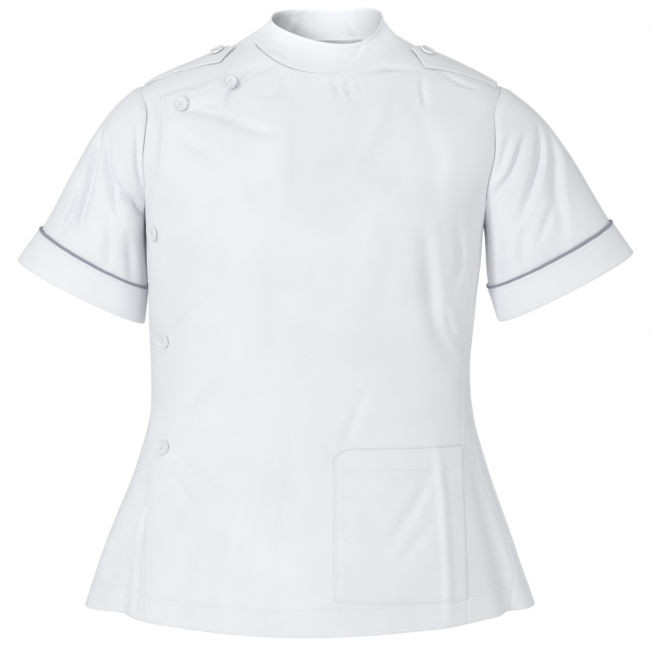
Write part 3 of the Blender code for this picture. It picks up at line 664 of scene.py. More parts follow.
@dataclass(frozen=True)
class Crease:
    """A crease in worn cloth: a soft trough (depth below 0) or ridge along a line of places on a surface."""

    path: Places
    depth: float
    width: float
    lean: float = 0.0
    banks: float = 0.3
    fade: float = 0.3

    def relief(self, points: Array, normals: Array, surface: Surface) -> Array:
        """How far the crease moves each point outwards.

        Weights fall off as a bell curve of the distance from each step of the path, and fade at its two
        ends. Their sum is the crease's strength at a point, and the weighted mean of the sideways distances
        is its signed distance s. The profile is (1 - 2 b u squared) exp(-u squared), where u is s over the
        width, b makes the low banks beside a crease, and the width differs on the side it leans to.

        Args:
            points: points of the smooth surface.
            normals: their outward normals.
            surface: the function from places to points that the path lies on.

        Returns:
            One distance a point, in millimetres.
        """
        places = smooth_line(self.path, 12)
        line = surface(places[:, 0], places[:, 1])
        reach = CREASE_REACH * self.width
        near = np.all((points > line.min(axis=0) - reach) & (points < line.max(axis=0) + reach), axis=-1)
        total = np.zeros(points.shape[:-1])
        if not near.any():
            return total
        window = CREASE_WINDOW * self.width
        run = run_of(line)
        share = run / run[-1]
        ends = smooth_step(share / self.fade) * smooth_step((1.0 - share) / self.fade)
        step = np.gradient(run) / (window * math.sqrt(math.pi))
        away = points[near][:, None] - line
        weight = np.exp(-np.sum(away**2, axis=-1) / window**2) * step
        beside = np.cross(unit(np.gradient(line, axis=0)), normals[near][:, None])
        strength = weight.sum(axis=1)
        sideways = np.sum(weight * np.sum(away * beside, axis=-1), axis=1) / np.maximum(strength, 1e-9)
        width = CREASE_SPREAD * self.width * (1.0 + self.lean * np.tanh(sideways / self.width))
        u = sideways / width
        total[near] = self.depth * (weight @ ends) * (1.0 - 2.0 * self.banks * u**2) * bell(u)
        return total


def creased(points: Array, normals: Array, surface: Surface, creases: Sequence[Crease]) -> Array:
    """The summed relief of several creases on one surface, in millimetres: one distance a point."""
    return sum((crease.relief(points, normals, surface) for crease in creases), np.zeros(points.shape[:-1]))


# ---- The garment's form


@dataclass(frozen=True)
class BodyForm:
    """The body's surface, given by an angle round it and a height. Angle 0 is the wearer's left side, 90 the
    middle of the front, 180 the wearer's right side and -90 the middle of the back."""

    ring_columns: tuple[str, ...] = (
        "height", "half_width", "front", "back", "centre", "pinch_front", "pinch_back",
    )
    rings: tuple[tuple[float, ...], ...] = (
        (-690, 274, 161, 159, -11, 0.40, 0.30),
        (-600, 243, 143, 140, -12, 0.30, 0.22),
        (-520, 213, 122, 118, -10, 0.15, 0.10),
        (-455, 195, 104, 98, -10, 0.02, 0.00),
        (-400, 191, 98, 90, -11, -0.08, -0.08),
        (-330, 195, 110, 96, -9, -0.18, -0.15),
        (-270, 198, 121, 102, -6, -0.25, -0.20),
        (-223, 202, 122, 105, -6, -0.28, -0.22),
        (-178, 214, 113, 104, -4, -0.30, -0.25),
        (-142, 228, 102, 98, -1, -0.30, -0.25),
        (-98, 227, 86, 87, 1, -0.25, -0.22),
        (-62, 212, 71, 75, 2, -0.10, -0.10),
        (-49, 190, 66, 71, 3, -0.05, -0.05),
        (-30, 148, 59, 65, 6, 0.0, 0.0),
        (-14, 110, 50, 58, 5, 0.0, 0.0),
        (0, 86, 44, 52, 4, 0.0, 0.0),
        (8, 70, 38, 44, 4, 0.0, 0.0),
    )
    # Soft flutes of the skirt: start height, angle there, angle at the hem, spread and depth at the hem.
    flutes: tuple[tuple[float, ...], ...] = (
        (-450, 158, 150, 7, -14),
        (-470, 171, 168, 8, 4),
        (-450, 22, 26, 6, -11),
        (-450, 40, 55, 7, 5),
        (-430, -34, -40, 9, -13),
        (-440, -62, -66, 10, 7),
        (-430, -98, -104, 10, -11),
        (-440, -143, -140, 10, -13),
    )
    hem: float = -686.0
    hem_front_drop: float = 3.0
    shoulder_end: float = -62.0
    neck_half_width: float = 86.0
    neck_front_drop: float = 49.0
    neck_back_drop: float = 4.0
    neck_roundness: float = 1.2
    armhole_bottom: float = -223.0
    armhole_front_depth: float = 55.0
    armhole_back_depth: float = 58.0
    shoulder_search: Pair = (-140.0, 7.0)

    @property
    def end_width(self) -> float:
        """The body's half width at the shoulder's end."""
        return float(self.ring(np.array([self.shoulder_end]), "half_width")[0])

    def ring(self, height: Array, column: str) -> Array:
        """One column of the ring table at any height, along a smooth curve."""
        table = np.array(self.rings, dtype=float)
        return hermite(table[:, 0], table[:, self.ring_columns.index(column)], height)

    def section(self, height: Array, front: Array) -> list[Array]:
        """The depth and the pinch of the level sections, where front says which half is meant."""
        halves = (("front", "back"), ("pinch_front", "pinch_back"))
        return [np.where(front, *(self.ring(height, column) for column in pair)) for pair in halves]

    def flute(self, angle: Array, height: Array) -> Array:
        """How far the flutes stand out: each a bell curve across, deeper towards the hem.

        Args:
            angle: degrees round the body.
            height: millimetres, of the same shape.

        Returns:
            One distance a place.
        """
        total = np.zeros(np.broadcast(angle, height).shape)
        for start, start_angle, hem_angle, spread, depth in self.flutes:
            down = np.clip((start - height) / (start - self.hem), 0.0, 1.1)
            middle = start_angle + (hem_angle - start_angle) * down
            away = (angle - middle + 180.0) % 360.0 - 180.0
            total = total + depth * down**1.3 * bell(away / spread)
        return total

    def point(self, angle: Array, height: Array) -> Array:
        """The surface at an angle and a height.

        Each level section is an ellipse of the ring's half width and depth, flattened or filled out towards
        its sides by the pinch. Above the shoulder's end an angle keeps its place across.

        Args:
            angle: degrees round the body.
            height: millimetres, with 0 at the side of the neck.

        Returns:
            Points in millimetres.
        """
        angle, height = np.broadcast_arrays(np.asarray(angle, float), np.asarray(height, float))
        turn = np.radians(angle)
        half_width = self.ring(height, "half_width")
        across = np.where(height > self.shoulder_end, self.end_width, half_width) * np.cos(turn)
        cosine = np.clip(across / half_width, -1.0, 1.0)
        front = np.sin(turn) > 0.0
        depth, pinch = self.section(height, front)
        flute = self.flute(angle, height)
        x = across + self.ring(height, "centre") + flute * np.cos(turn)
        bow = depth * np.sqrt(1.0 - cosine**2) * (1.0 - pinch * cosine**2)
        return np.stack([x, np.where(front, -1.0, 1.0) * bow - flute * np.sin(turn), height], axis=-1)

    def normal(self, angle: Array, height: Array) -> Array:
        """The outward direction: the cross product of small steps round and up.

        Args:
            angle: degrees round the body.
            height: millimetres.

        Returns:
            One normal a place.
        """
        step = 0.5
        around = self.point(angle + step, height) - self.point(angle - step, height)
        up = self.point(angle, height + step) - self.point(angle, height - step)
        return unit(np.cross(up, around))

    def neck_place(self, turn: Array, grow: float = 0.0) -> Array:
        """The collar's seam at a turn round the neck: an ellipse from above that dips by a power of the sine.

        Args:
            turn: degrees round the neck.
            grow: how much wider it is made.

        Returns:
            Places, as angles and heights.
        """
        turn = np.asarray(turn, float)
        sine = np.sin(np.radians(turn))
        drop = np.where(sine > 0.0, self.neck_front_drop, self.neck_back_drop)
        height = -(drop + grow) * np.abs(sine) ** self.neck_roundness
        across = (self.neck_half_width + grow) * np.cos(np.radians(turn))
        angle = np.degrees(np.arccos(across / self.end_width))
        return np.stack([np.where(sine >= 0.0, angle, -angle), height], axis=-1)

    def shoulder_place(self, side: Side, count: int = 60) -> Array:
        """The shoulder seam, along the top of the shoulder.

        Args:
            side: the wearer's side.
            count: how many steps it has.

        Returns:
            Places from the shoulder's end to the neck.
        """
        height = np.linspace(self.shoulder_end, 0.0, count + 1)
        ratio = np.clip(self.ring(height, "half_width") / self.end_width, 0.0, 1.0)
        return np.stack([np.degrees(np.arccos(side.value * ratio)), height], axis=-1)

    def armhole_place(self, side: Side, turn: Array) -> Array:
        """An armhole's seam at a turn from its top, forward first: an oval seen from the side.

        Args:
            side: the wearer's side.
            turn: degrees from the top.

        Returns:
            Places, as angles and heights.
        """
        turn = np.radians(np.asarray(turn, float))
        middle = 0.5 * (self.shoulder_end + self.armhole_bottom)
        height = middle + 0.5 * (self.shoulder_end - self.armhole_bottom) * np.cos(turn)
        front = np.sin(turn) > 0.0
        reach = np.where(front, self.armhole_front_depth, self.armhole_back_depth) * np.abs(np.sin(turn))
        depth, pinch = self.section(height, front)
        wanted = reach / depth
        sine = wanted.copy()
        for _ in range(20):
            sine = wanted / (1.0 - pinch * (1.0 - sine**2))
        angle = np.degrees(np.arcsin(np.clip(sine, 0.0, 1.0)))
        angle = np.where(front, angle, -angle)
        if side is Side.RIGHT:
            angle = np.where(front, 180.0 - angle, -180.0 - angle)
        return np.stack([angle, height], axis=-1)

    def evenly(self, places: Array, shares: Array) -> Array:
        """Places along a line at shares of its true length on the surface.

        Args:
            places: the line's corners.
            shares: shares of its length.

        Returns:
            One place a share.
        """
        places = np.asarray(places, float)
        knots = np.arange(len(places))
        fine = np.linspace(0, len(places) - 1, 40 * (len(places) - 1) + 1)
        line = np.stack([np.interp(fine, knots, places[:, k]) for k in (0, 1)], axis=-1)
        run = run_of(self.point(line[:, 0], line[:, 1]))
        at = np.asarray(shares, float) * run[-1]
        return np.stack([np.interp(at, run, line[:, k]) for k in (0, 1)], axis=-1)

    def hem_line(self, first: float, last: float, count: int) -> Array:
        """The hem, a little lower in the middle of the front.

        Args:
            first: the angle that it starts from.
            last: the angle that it ends at.
            count: how many steps it has.

        Returns:
            Places, as angles and heights.
        """
        angle = np.linspace(first, last, count + 1)
        drop = self.hem_front_drop * np.clip(np.sin(np.radians(angle)), 0.0, 1.0) ** 2
        return np.stack([angle, self.hem - drop], axis=-1)

    def shoulder_height(self, x: Array, y: Array) -> Array:
        """The height of the shoulder's surface above a point seen from above, found by halving.

        Args:
            x: the point's place across.
            y: its place from front to back.

        Returns:
            One height a point.
        """
        low, high = (np.full_like(x, limit) for limit in self.shoulder_search)
        for _ in range(40):
            z = 0.5 * (low + high)
            cosine = np.clip((x - self.ring(z, "centre")) / self.ring(z, "half_width"), -1.0, 1.0)
            depth, pinch = self.section(z, y < 0.0)
            inside = depth * np.sqrt(1.0 - cosine**2) * (1.0 - pinch * cosine**2) > np.abs(y)
            low, high = np.where(inside, z, low), np.where(inside, high, z)
        return 0.5 * (low + high)


FORM = BodyForm()

# Creases of the front, placed where the worn cloth pulls: round the collar's end and the lap's corner, from
# the bust to the waist, from the side buttons, and above and across the pocket.
FRONT_CREASES = (
    Crease(((105, -37), (109.5, -44), (114, -51), (117.5, -68), (119, -90)), -6.6, 5.8, lean=0.3),
    Crease(((100.5, -48), (103, -71), (107.5, -76)), -3.6, 5.0),
    Crease(((134, -93), (127, -86), (122, -88), (119, -103)), -3.3, 5.5, lean=-0.3),
    Crease(((78, -47), (69, -42), (60, -43)), -3.2, 4.8, lean=-0.3),
    Crease(((86, -52), (84.5, -78)), -3.2, 4.0),
    Crease(((82.5, -51), (80.5, -82)), -3.0, 4.0),
    Crease(((79.5, -51), (77.5, -68)), -1.7, 3.4),
    Crease(((56, -50), (57, -70), (59, -92)), -2.6, 5.0),
    Crease(((52, -215), (47, -280), (41, -339), (31, -372), (23.5, -392)), -6.0, 13.0, lean=0.35, banks=0.4),
    Crease(((128, -296), (139, -332), (150, -362)), -3.3, 7.0, lean=0.3),
    Crease(((122, -398), (130, -420), (144, -472)), -3.3, 7.0, lean=0.3),
    Crease(((146, -486), (133, -508), (117, -540)), -3.6, 7.5, lean=-0.3),
    Crease(((143, -512), (134, -532), (124, -562)), -2.7, 7.0, lean=-0.3),
    Crease(((70, -410), (75, -448), (80.5, -486)), -2.4, 8.0),
    Crease(((48, -510), (58, -552), (69, -594)), -3.0, 9.0, lean=0.3),
    Crease(((51, -566), (59, -590), (67, -616)), -2.4, 8.0),
    Crease(((100, -190), (82, -176), (64, -132), (52, -96)), -10.5, 34.0, lean=-0.2, banks=0.15),
    Crease(((99, -84), (100, -130), (101, -215)), 3.0, 17.0, lean=0.4, banks=0.2),
    Crease(((62, -86), (56, -130), (48, -205)), -3.6, 17.0, lean=0.3),
    Crease(((70, -70), (74, -112), (80, -160)), 2.4, 12.0),
    Crease(((112, -190), (109, -320), (107, -440)), 3.6, 22.0, lean=0.3),
    Crease(((128, -170), (126, -260), (129, -350)), -1.6, 16.0),
    Crease(((64, -150), (72, -260), (78, -380)), 2.4, 24.0),
    Crease(((96, -430), (97, -560), (96, -684)), -2.6, 16.0, fade=0.2),
    Crease(((110, -470), (112, -580), (113, -688)), 2.8, 14.0, fade=0.2),
    Crease(((125, -560), (124, -630), (124, -690)), -2.6, 11.0, fade=0.2),
    Crease(((156, -530), (147, -612), (139.5, -688)), -6.5, 8.0, lean=0.3, fade=0.2),
    Crease(((43.2, -478), (47.3, -551), (53, -650), (55, -690)), 2.6, 8.0, lean=-0.3, banks=0.5, fade=0.15),
    Crease(
        ((124, -45), (131, -61), (147, -75), (143.5, -116), (146, -156), (153, -182)), -2.2, 5.0, fade=0.15
    ),
    Crease(((142.4, -90), (130, -91.2), (119.4, -98.4), (107.8, -114), (99.7, -118.8)), -4.6, 7.5, lean=0.3),
    Crease(((138.3, -109.2), (128.7, -130.8), (120.3, -152.4)), -5.0, 9.5, lean=0.3),
    Crease(((98.6, -188.4), (85.1, -205.2), (71.6, -186), (65.1, -150)), -2.5, 24.0, banks=0.2),
    Crease(((49.3, -45.6), (41.1, -56.4), (31.9, -64.8)), -2.8, 4.5, lean=0.3),
    Crease(((55.9, -56.4), (57.7, -72), (56.8, -90)), -1.8, 4.0, lean=-0.3),
    Crease(((36.1, -216), (30.3, -258), (33.7, -300)), -3.0, 9.0, lean=0.3),
    Crease(((38.8, -318), (29.4, -354), (12, -378)), -3.4, 8.0, lean=0.3),
    Crease(((109.4, -630), (95.4, -648), (84.6, -630)), -3.0, 16.0),
)

# Creases of the sides and the back: from under the arms, across the small of the back and down the skirt.
BACK_CREASES = (
    Crease(((-6, -236), (-20, -262), (-38, -276)), -3.1, 8.0, lean=0.3),
    Crease(((-8, -262), (-20, -296), (-30, -330)), -2.3, 8.0),
    Crease(((-174, -236), (-160, -264), (-142, -280)), -3.4, 8.0, lean=-0.3),
    Crease(((-172, -268), (-158, -304), (-150, -340)), -2.3, 8.0),
    Crease(((-30, -372), (-52, -390), (-76, -394)), -2.4, 9.0, lean=0.3),
    Crease(((-148, -368), (-126, -378), (-104, -372)), -2.8, 9.0, lean=-0.3),
    Crease(((-60, -428), (-84, -444), (-112, -440)), -2.3, 10.0, lean=0.3),
    Crease(((-40, -92), (-44, -140), (-42, -200)), -2.3, 13.0, lean=0.3),
    Crease(((-138, -92), (-134, -150), (-138, -210)), -2.6, 13.0, lean=-0.3),
    Crease(((-84, -24), (-78, -60), (-74, -104)), -1.6, 8.0),
    Crease(((-98, -22), (-104, -58), (-110, -100)), -1.8, 8.0),
    Crease(((-90, -60), (-90, -150), (-88, -240)), 2.1, 28.0, banks=0.2),
    Crease(((-60, -200), (-66, -300), (-62, -380)), -2.1, 20.0),
    Crease(((-118, -200), (-114, -300), (-118, -380)), -2.1, 22.0),
    Crease(((-84, -470), (-82, -590), (-82, -688)), 2.6, 18.0, fade=0.2),
    Crease(((-122, -480), (-124, -590), (-124, -688)), 2.9, 18.0, fade=0.2),
    Crease(((-24, -470), (-20, -590), (-18, -688)), 2.3, 15.0, fade=0.2),
    Crease(((10, -250), (8, -300), (14, -352)), -2.3, 9.0),
)

# How far the lap lies over the under front, and the angles between which it rises.
LAP_LIFT_MM = 2.8
LAP_FROM, LAP_TO = 76.0, 97.0
# Walls, seams and layers. The shoulder's edges overlap a little, so that no slit shows between them.
PATCH_LIFT_MM = 1.25
CLOTH_MM = 0.9
DOUBLE_CLOTH_MM = 1.4
SEAM_GAP_MM = 0.8
NECK_GAP_MM = 0.3
SHOULDER_OVERLAP_MM = 0.6
# Rows of stitches: from a panel's edge, from a band's edge, and the thread's middle above the cloth.
TOPSTITCH_MM = 6.0
BAND_STITCH_MM = 5.0
THREAD_LIFT_MM = 0.1


def lap_lift(angle: Array) -> Array:
    """How far the outer front is lifted to lie over the under front: an S curve between two angles."""
    return LAP_LIFT_MM * smooth_step((angle - LAP_FROM) / (LAP_TO - LAP_FROM))


def body_relief(points: Array, normals: Array) -> Array:
    """All that moves the body's cloth off its smooth form: its creases and a soft unevenness."""
    total = creased(points, normals, FORM.point, FRONT_CREASES + BACK_CREASES)
    return total + 0.55 * unevenness(points, 95.0, 11) + 0.16 * unevenness(points, 31.0, 12)


def body_spot(angle: float, height: float, lift: float) -> tuple[Array, Array]:
    """A point on the creased cloth and its normal, from a small grid round it.

    Args:
        angle: degrees round the body.
        height: the place's height.
        lift: how far above the body's cloth.

    Returns:
        The point and its outward normal.
    """
    spread = 3.0
    angles = np.array([[angle - spread, angle, angle + spread]]).repeat(3, axis=0)
    heights = np.array([[height - 2 * spread], [height], [height + 2 * spread]]).repeat(3, axis=1)
    points, normals = FORM.point(angles, heights), FORM.normal(angles, heights)
    raised = points + (body_relief(points, normals) + lift)[..., None] * normals
    return raised[1, 1], outward(raised)[1, 1]


# ---- Sewing


@dataclass
class Stitching:
    """A row of lockstitches: short rounded lengths of thread lying on the cloth, one after another."""

    length: float = 2.5
    pitch: float = 3.2
    radius: float = 0.28
    sides: int = 6
    rows: list[tuple[Array, Array]] = field(default_factory=list)

    def add(self, line: Array, normals: Array, lift: float) -> None:
        """Lay a row along a line on the cloth, with the thread's middle lifted off the cloth's middle."""
        self.rows.append((line + lift * normals, normals))

    def follow(self, grid: Array, normals: Array, distance: float, edge: Edge, lift: float) -> None:
        """Lay a row along an edge of a sheet, by straight lines between the grid's points.

        Args:
            grid: points of the sheet's middle surface, rows first.
            normals: their outward normals.
            distance: how far inside the edge it runs.
            edge: left, bottom or top.
            lift: how far the thread's middle lies above the sheet's.
        """
        if edge is Edge.TOP:
            grid, normals = grid[::-1], normals[::-1]
        if edge is not Edge.LEFT:
            grid, normals = grid.transpose(1, 0, 2), normals.transpose(1, 0, 2)
        run = run_of(grid, 1)
        rows = np.arange(len(grid))
        column = np.argmax(run[:, 1:] >= distance, axis=1)
        before, after = run[rows, column], run[rows, column + 1]
        share = np.clip((distance - before) / np.maximum(after - before, 1e-9), 0.0, 1.0)[:, None]
        line, turned = (blend(v[rows, column], v[rows, column + 1], share) for v in (grid, normals))
        self.add(line, unit(turned), lift)

    def spots(self) -> tuple[Array, Array, Array]:
        """Where the stitches lie, at even steps along each row.

        Returns:
            The middle, the direction and the normal of every stitch.
        """
        middles, directions, ups = [], [], []
        for line, normals in self.rows:
            run = run_of(line)
            at = np.arange(self.pitch / 2, run[-1] - self.pitch / 2, self.pitch)
            half = self.length / 2
            first, middle, last, up = (
                np.stack([np.interp(at + shift, run, values[:, k]) for k in range(3)], axis=-1)
                for shift, values in ((-half, line), (0.0, line), (half, line), (0.0, normals))
            )
            middles.append(middle)
            directions.append(unit(last - first))
            ups.append(unit(up))
        return np.concatenate(middles), np.concatenate(directions), np.concatenate(ups)

    def build(self, name: str, material: Material) -> Piece:
        """Make all rows one mesh.

        A stitch is a capsule: rings of points at shares of its length, with radii that close at both ends,
        flattened a little against the cloth.

        Args:
            name: the object's name.
            material: the thread.

        Returns:
            The object.
        """
        middles, directions, ups = self.spots()
        across = np.cross(directions, ups)
        shares = np.array([-0.5, -0.42, -0.15, 0.15, 0.42, 0.5])
        radii = self.radius * np.array([0.25, 0.8, 1.0, 1.0, 0.8, 0.25])
        turn = np.arange(self.sides) * 2.0 * math.pi / self.sides
        cosine, sine = np.cos(turn)[None, :, None], np.sin(turn)[None, :, None]
        ring = cosine * across[:, None] + 0.8 * sine * ups[:, None]
        dip = -0.3 * self.radius * (2.0 * shares) ** 4
        spine = middles[:, None] + shares[None, :, None] * self.length * directions[:, None]
        spine = spine + dip[None, :, None] * ups[:, None]
        points = spine[:, :, None] + radii[None, :, None, None] * ring[:, None]
        index = np.arange(len(shares) * self.sides).reshape(len(shares), self.sides)
        after = np.roll(index, -1, axis=1)
        quads = np.stack([index[:-1], index[1:], after[1:], after[:-1]], axis=-1).reshape(-1, 4)
        each = len(shares) * self.sides
        starts = (np.arange(len(middles)) * each)[:, None, None]
        faces = (quads[None] + starts).reshape(-1, 4).tolist()
        caps = [index[0].tolist(), index[-1][::-1].tolist()]
        faces += [[start + k for k in cap] for start in range(0, len(middles) * each, each) for cap in caps]
        return new_object(name, points.reshape(-1, 3), faces, material)


def seam_roll(
    grid: Array, depth: float = 0.4, reach: float = 2.0, edges: Sequence[Edge] = (Edge.LEFT, Edge.RIGHT)
) -> Array:
    """How far a panel turns in along its seams, below 0: a bell curve of the way from the edge."""
    return sum((-depth * bell(from_edge(grid, edge) / reach) for edge in edges), np.zeros(grid.shape[:2]))


def stitch_groove(grid: Array, distance: float, edge: Edge, depth: float = 0.35, width: float = 2.2) -> Array:
    """A row's groove and fine puckers: bell curves about it, the puckers' three times as wide."""
    away = (from_edge(grid, edge) - distance) / width
    return 0.22 * unevenness(grid, 13.0, 21) * bell(away / 3.0) - depth * bell(away)


def dress(piece: Piece, replaced: Sequence[str] = ()) -> Piece:
    """Fix a piece to the garment's body, hide the model's nodes that it stands for, and log it.

    Args:
        piece: the new piece.
        replaced: the model's nodes that it stands for.

    Returns:
        The piece.
    """
    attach(piece, BODY)
    if replaced:
        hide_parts(*replaced)
    LOG.info("%s: %d triangles", piece.name, sum(len(face.vertices) - 2 for face in piece.data.polygons))
    return piece


@dataclass
class Sheet:
    """A piece of cloth that stands for a node, with its stitching."""

    name: str
    node: str
    grid: Array
    normals: Array
    thickness: float
    closed: bool = False
    rows: Stitching = field(default_factory=Stitching)

    @property
    def lift(self) -> float:
        """How far a thread's middle lies above the sheet's middle."""
        return 0.5 * self.thickness + THREAD_LIFT_MM

    def follow(self, distance: float, edge: Edge, columns: slice = slice(None)) -> None:
        """Lay a row of stitches at a distance inside an edge, along some of the columns."""
        self.rows.follow(self.grid[:, columns], self.normals[:, columns], distance, edge, self.lift)

    def build(self, finishes: Finishes) -> tuple[Piece, Piece]:
        """Make the cloth and its stitching.

        Args:
            finishes: the finishes.

        Returns:
            The cloth and the stitching.
        """
        cloth = shell(self.name, self.grid, self.normals, self.thickness, finishes.cloth, self.closed)
        dress(cloth, [self.node])
        return cloth, dress(self.rows.build(f"{self.node}_stitching", finishes.thread))


# ---- The body's panels


@dataclass
class BodyPanels:
    """The outer front, under front, side panel and back, with their seams, hem and topstitching. Edges and
    seams are places, from the hem up."""

    finishes: Finishes
    length: float = 690.0
    hem_depth: float = 30.0
    hem_rows: tuple[int, int] = (13, 11)
    hem_close: float = 0.006
    hem_rise: float = 0.35
    low_rows: int = 150
    high_rows: int = 88
    closing: float = 1.7
    armhole_share: float = 0.72
    row_sag: float = 16.0
    outer_edge: Places = (
        (134.4, -686), (137.6, -640), (142.0, -594), (149.1, -549), (155.3, -517), (162.5, -482),
        (168.5, -440), (170.5, -380), (170.5, -300), (168.5, -240), (164.0, -215), (156.8, -195),
        (151.5, -179), (145.1, -156), (142.5, -116), (146.6, -72.5),
    )
    outer_top_edge: Places = (
        (146.6, -72.5), (139.9, -68.0), (134.4, -62.3), (128.7, -58.9), (124.6, -55.0), (122.4, -46.0),
        (120.0, -34.2), (116.5, -22.0),
    )
    under_edge: Places = (
        (124.0, -686), (131.0, -594), (143.0, -517), (155.0, -440), (158.0, -380), (158.0, -300),
        (155.0, -240), (144.0, -195), (133.0, -156), (126.0, -116), (115.0, -75),
    )
    princess_seam: Places = (
        (48.2, -686), (42.7, -616), (36.8, -554), (29.9, -498), (23.3, -446), (20.5, -400), (19.5, -330),
        (19.0, -270), (19.5, -223),
    )
    left_side_seam: Places = (
        (24.9, -686), (20.5, -660), (16.0, -635), (15.5, -569), (18.5, -501), (10.0, -400), (3.0, -300),
    )
    right_side_seam: Places = (
        (150.5, -686), (151.4, -625), (154.2, -585), (157.0, -517), (166.0, -400), (176.0, -300),
    )
    princess_armhole_turn: float = 128.0
    collar_end_turn: float = 160.0
    under_neck_end_turn: float = 120.0
    neck_step: float = 2.5
    # The lap's edge stands off a little down the skirt.
    edge_lift: float = 1.8
    edge_lift_below: float = -440.0
    edge_lift_reach: float = 90.0
    edge_lift_angle: float = 12.0

    def rows(self, to_top: bool = True) -> Array:
        """Shares up a panel: close together at the hem's stitching, and closing up towards the top.

        Args:
            to_top: whether the panel reaches above the armhole's lowest point.

        Returns:
            Rising shares from 0 to 1.
        """
        line = self.hem_depth / self.length
        first, close = self.hem_rows
        below = np.linspace(0.0, line - self.hem_close, first + 1)
        near = np.linspace(line - self.hem_close, line + self.hem_close, close + 1)
        rest = np.linspace(line + self.hem_close, self.armhole_share, self.low_rows + 1)
        low = joined(below, near, rest)
        if not to_top:
            return low / self.armhole_share
        above = 1.0 - (1.0 - np.linspace(0.0, 1.0, self.high_rows + 1)[1:]) ** self.closing
        return np.concatenate([low, self.armhole_share + (1.0 - self.armhole_share) * above])

    def split(self, rows: Array) -> tuple[int, Array, Array]:
        """The row at the armhole's lowest point, and shares up the parts below and above it."""
        low = int(np.searchsorted(rows, self.armhole_share - 1e-9))
        return low, rows[: low + 1] / rows[low], (rows[low:] - rows[low]) / (1.0 - rows[low])

    def closed_edges(self, top: Array, left: Array, right: Array) -> tuple[Array, Array, Array, Array]:
        """Add the hem to a panel's other edges, and make them meet at the corners.

        Args:
            top: places along the top edge.
            left: places up the left edge.
            right: places up the right edge.

        Returns:
            The bottom, top, left and right edges.
        """
        bottom = FORM.hem_line(left[0, 0], right[0, 0], len(top) - 1)
        left[0], right[0], left[-1], right[-1] = bottom[0], bottom[-1], top[0], top[-1]
        return bottom, top, left, right

    def filled(self, top: Array, left: Array, right: Array, fade: tuple[int, int]) -> Array:
        """Fill a whole panel's edges with a grid.

        Up to the armholes each row runs from side edge to side edge. The rows above are filled in between
        the last of these, which sags a little, and the top edge, and are then evened out.

        Args:
            top: places along the neck and shoulders.
            left: places up the left edge.
            right: places up the right edge.
            fade: the powers for the upper part, as in patch.

        Returns:
            The grid, rows first.
        """
        bottom, top, left, right = self.closed_edges(top, left, right)
        low, below_up, above_up = self.split(self.rows())
        share = np.linspace(0.0, 1.0, len(bottom))[:, None]
        sag = self.row_sag * 4.0 * share * (1.0 - share)
        middle = left[low] + share * (right[low] - left[low]) - sag * [0.0, 1.0]
        below = patch(bottom, middle, left[: low + 1], right[: low + 1], below_up, (1, 1))
        above = evened(patch(middle, top, left[low:], right[low:], above_up, fade))
        return joined(below, above)

    def drawn_back(self, places: Array, direction: int) -> Array:
        """A seam's places moved sideways by half the seam's gap."""
        shift = np.degrees(0.5 * SEAM_GAP_MM / FORM.ring(places[..., 1], "half_width")) * direction
        return np.stack([places[..., 0] + shift, places[..., 1]], axis=-1)

    def side_line(self, seam: Places | Array, side: Side, turns: Pair, direction: int) -> Array:
        """A panel's side edge: up a seam to the armhole, round the armhole, and drawn back for the seam.

        Args:
            seam: places up the seam.
            side: the wearer's side.
            turns: where round the armhole it starts and ends.
            direction: which way it is drawn back.

        Returns:
            One place a row.
        """
        arm = FORM.armhole_place(side, np.linspace(turns[0], turns[1], 120))
        _, below_up, above_up = self.split(self.rows())
        line = smooth_line(joined(np.array(seam), arm[:1][[0, 0]]))
        return self.drawn_back(joined(FORM.evenly(line, below_up), FORM.evenly(arm, above_up)), direction)

    def neck_line(self, first: float, last: float) -> Array:
        """The neck's edge between two turns, in even steps."""
        turns = np.linspace(first, last, round(abs(last - first) / self.neck_step) + 1)
        return FORM.neck_place(turns, NECK_GAP_MM)

    def raised(
        self, places: Array, lift: Array | float, seams: Sequence[Edge], free: Sequence[Edge] = ()
    ) -> Array:
        """The creased surface of a panel.

        The body's relief, the turn along the seams and the grooves of the stitching are added along the
        smooth surface's normals. The shoulder's edge then reaches a little past its seam.

        Args:
            places: the panel's grid of angles and heights.
            lift: how far it lies above the body's cloth.
            seams: edges that are sewn to another piece.
            free: edges that are turned and topstitched.

        Returns:
            The grid of points.
        """
        smooth = FORM.point(places[..., 0], places[..., 1])
        normals = outward(smooth)
        relief = body_relief(smooth, normals) + lift + seam_roll(smooth, edges=seams)
        for edge in free:
            relief = relief + stitch_groove(smooth, TOPSTITCH_MM, edge)
        relief = relief + stitch_groove(smooth, self.hem_depth, Edge.BOTTOM)
        doubled = self.hem_rise * smooth_step((self.hem_depth - (places[..., 1] - FORM.hem)) / 4.0)
        grid = smooth + (relief + doubled)[..., None] * normals
        shoulder = (np.abs(smooth[-1, :, 1]) < 0.05) & (smooth[-1, :, 2] > FORM.shoulder_end - 1.0)
        grid[-1, shoulder, 1] -= np.sign(smooth[..., 1].mean()) * SHOULDER_OVERLAP_MM
        return grid

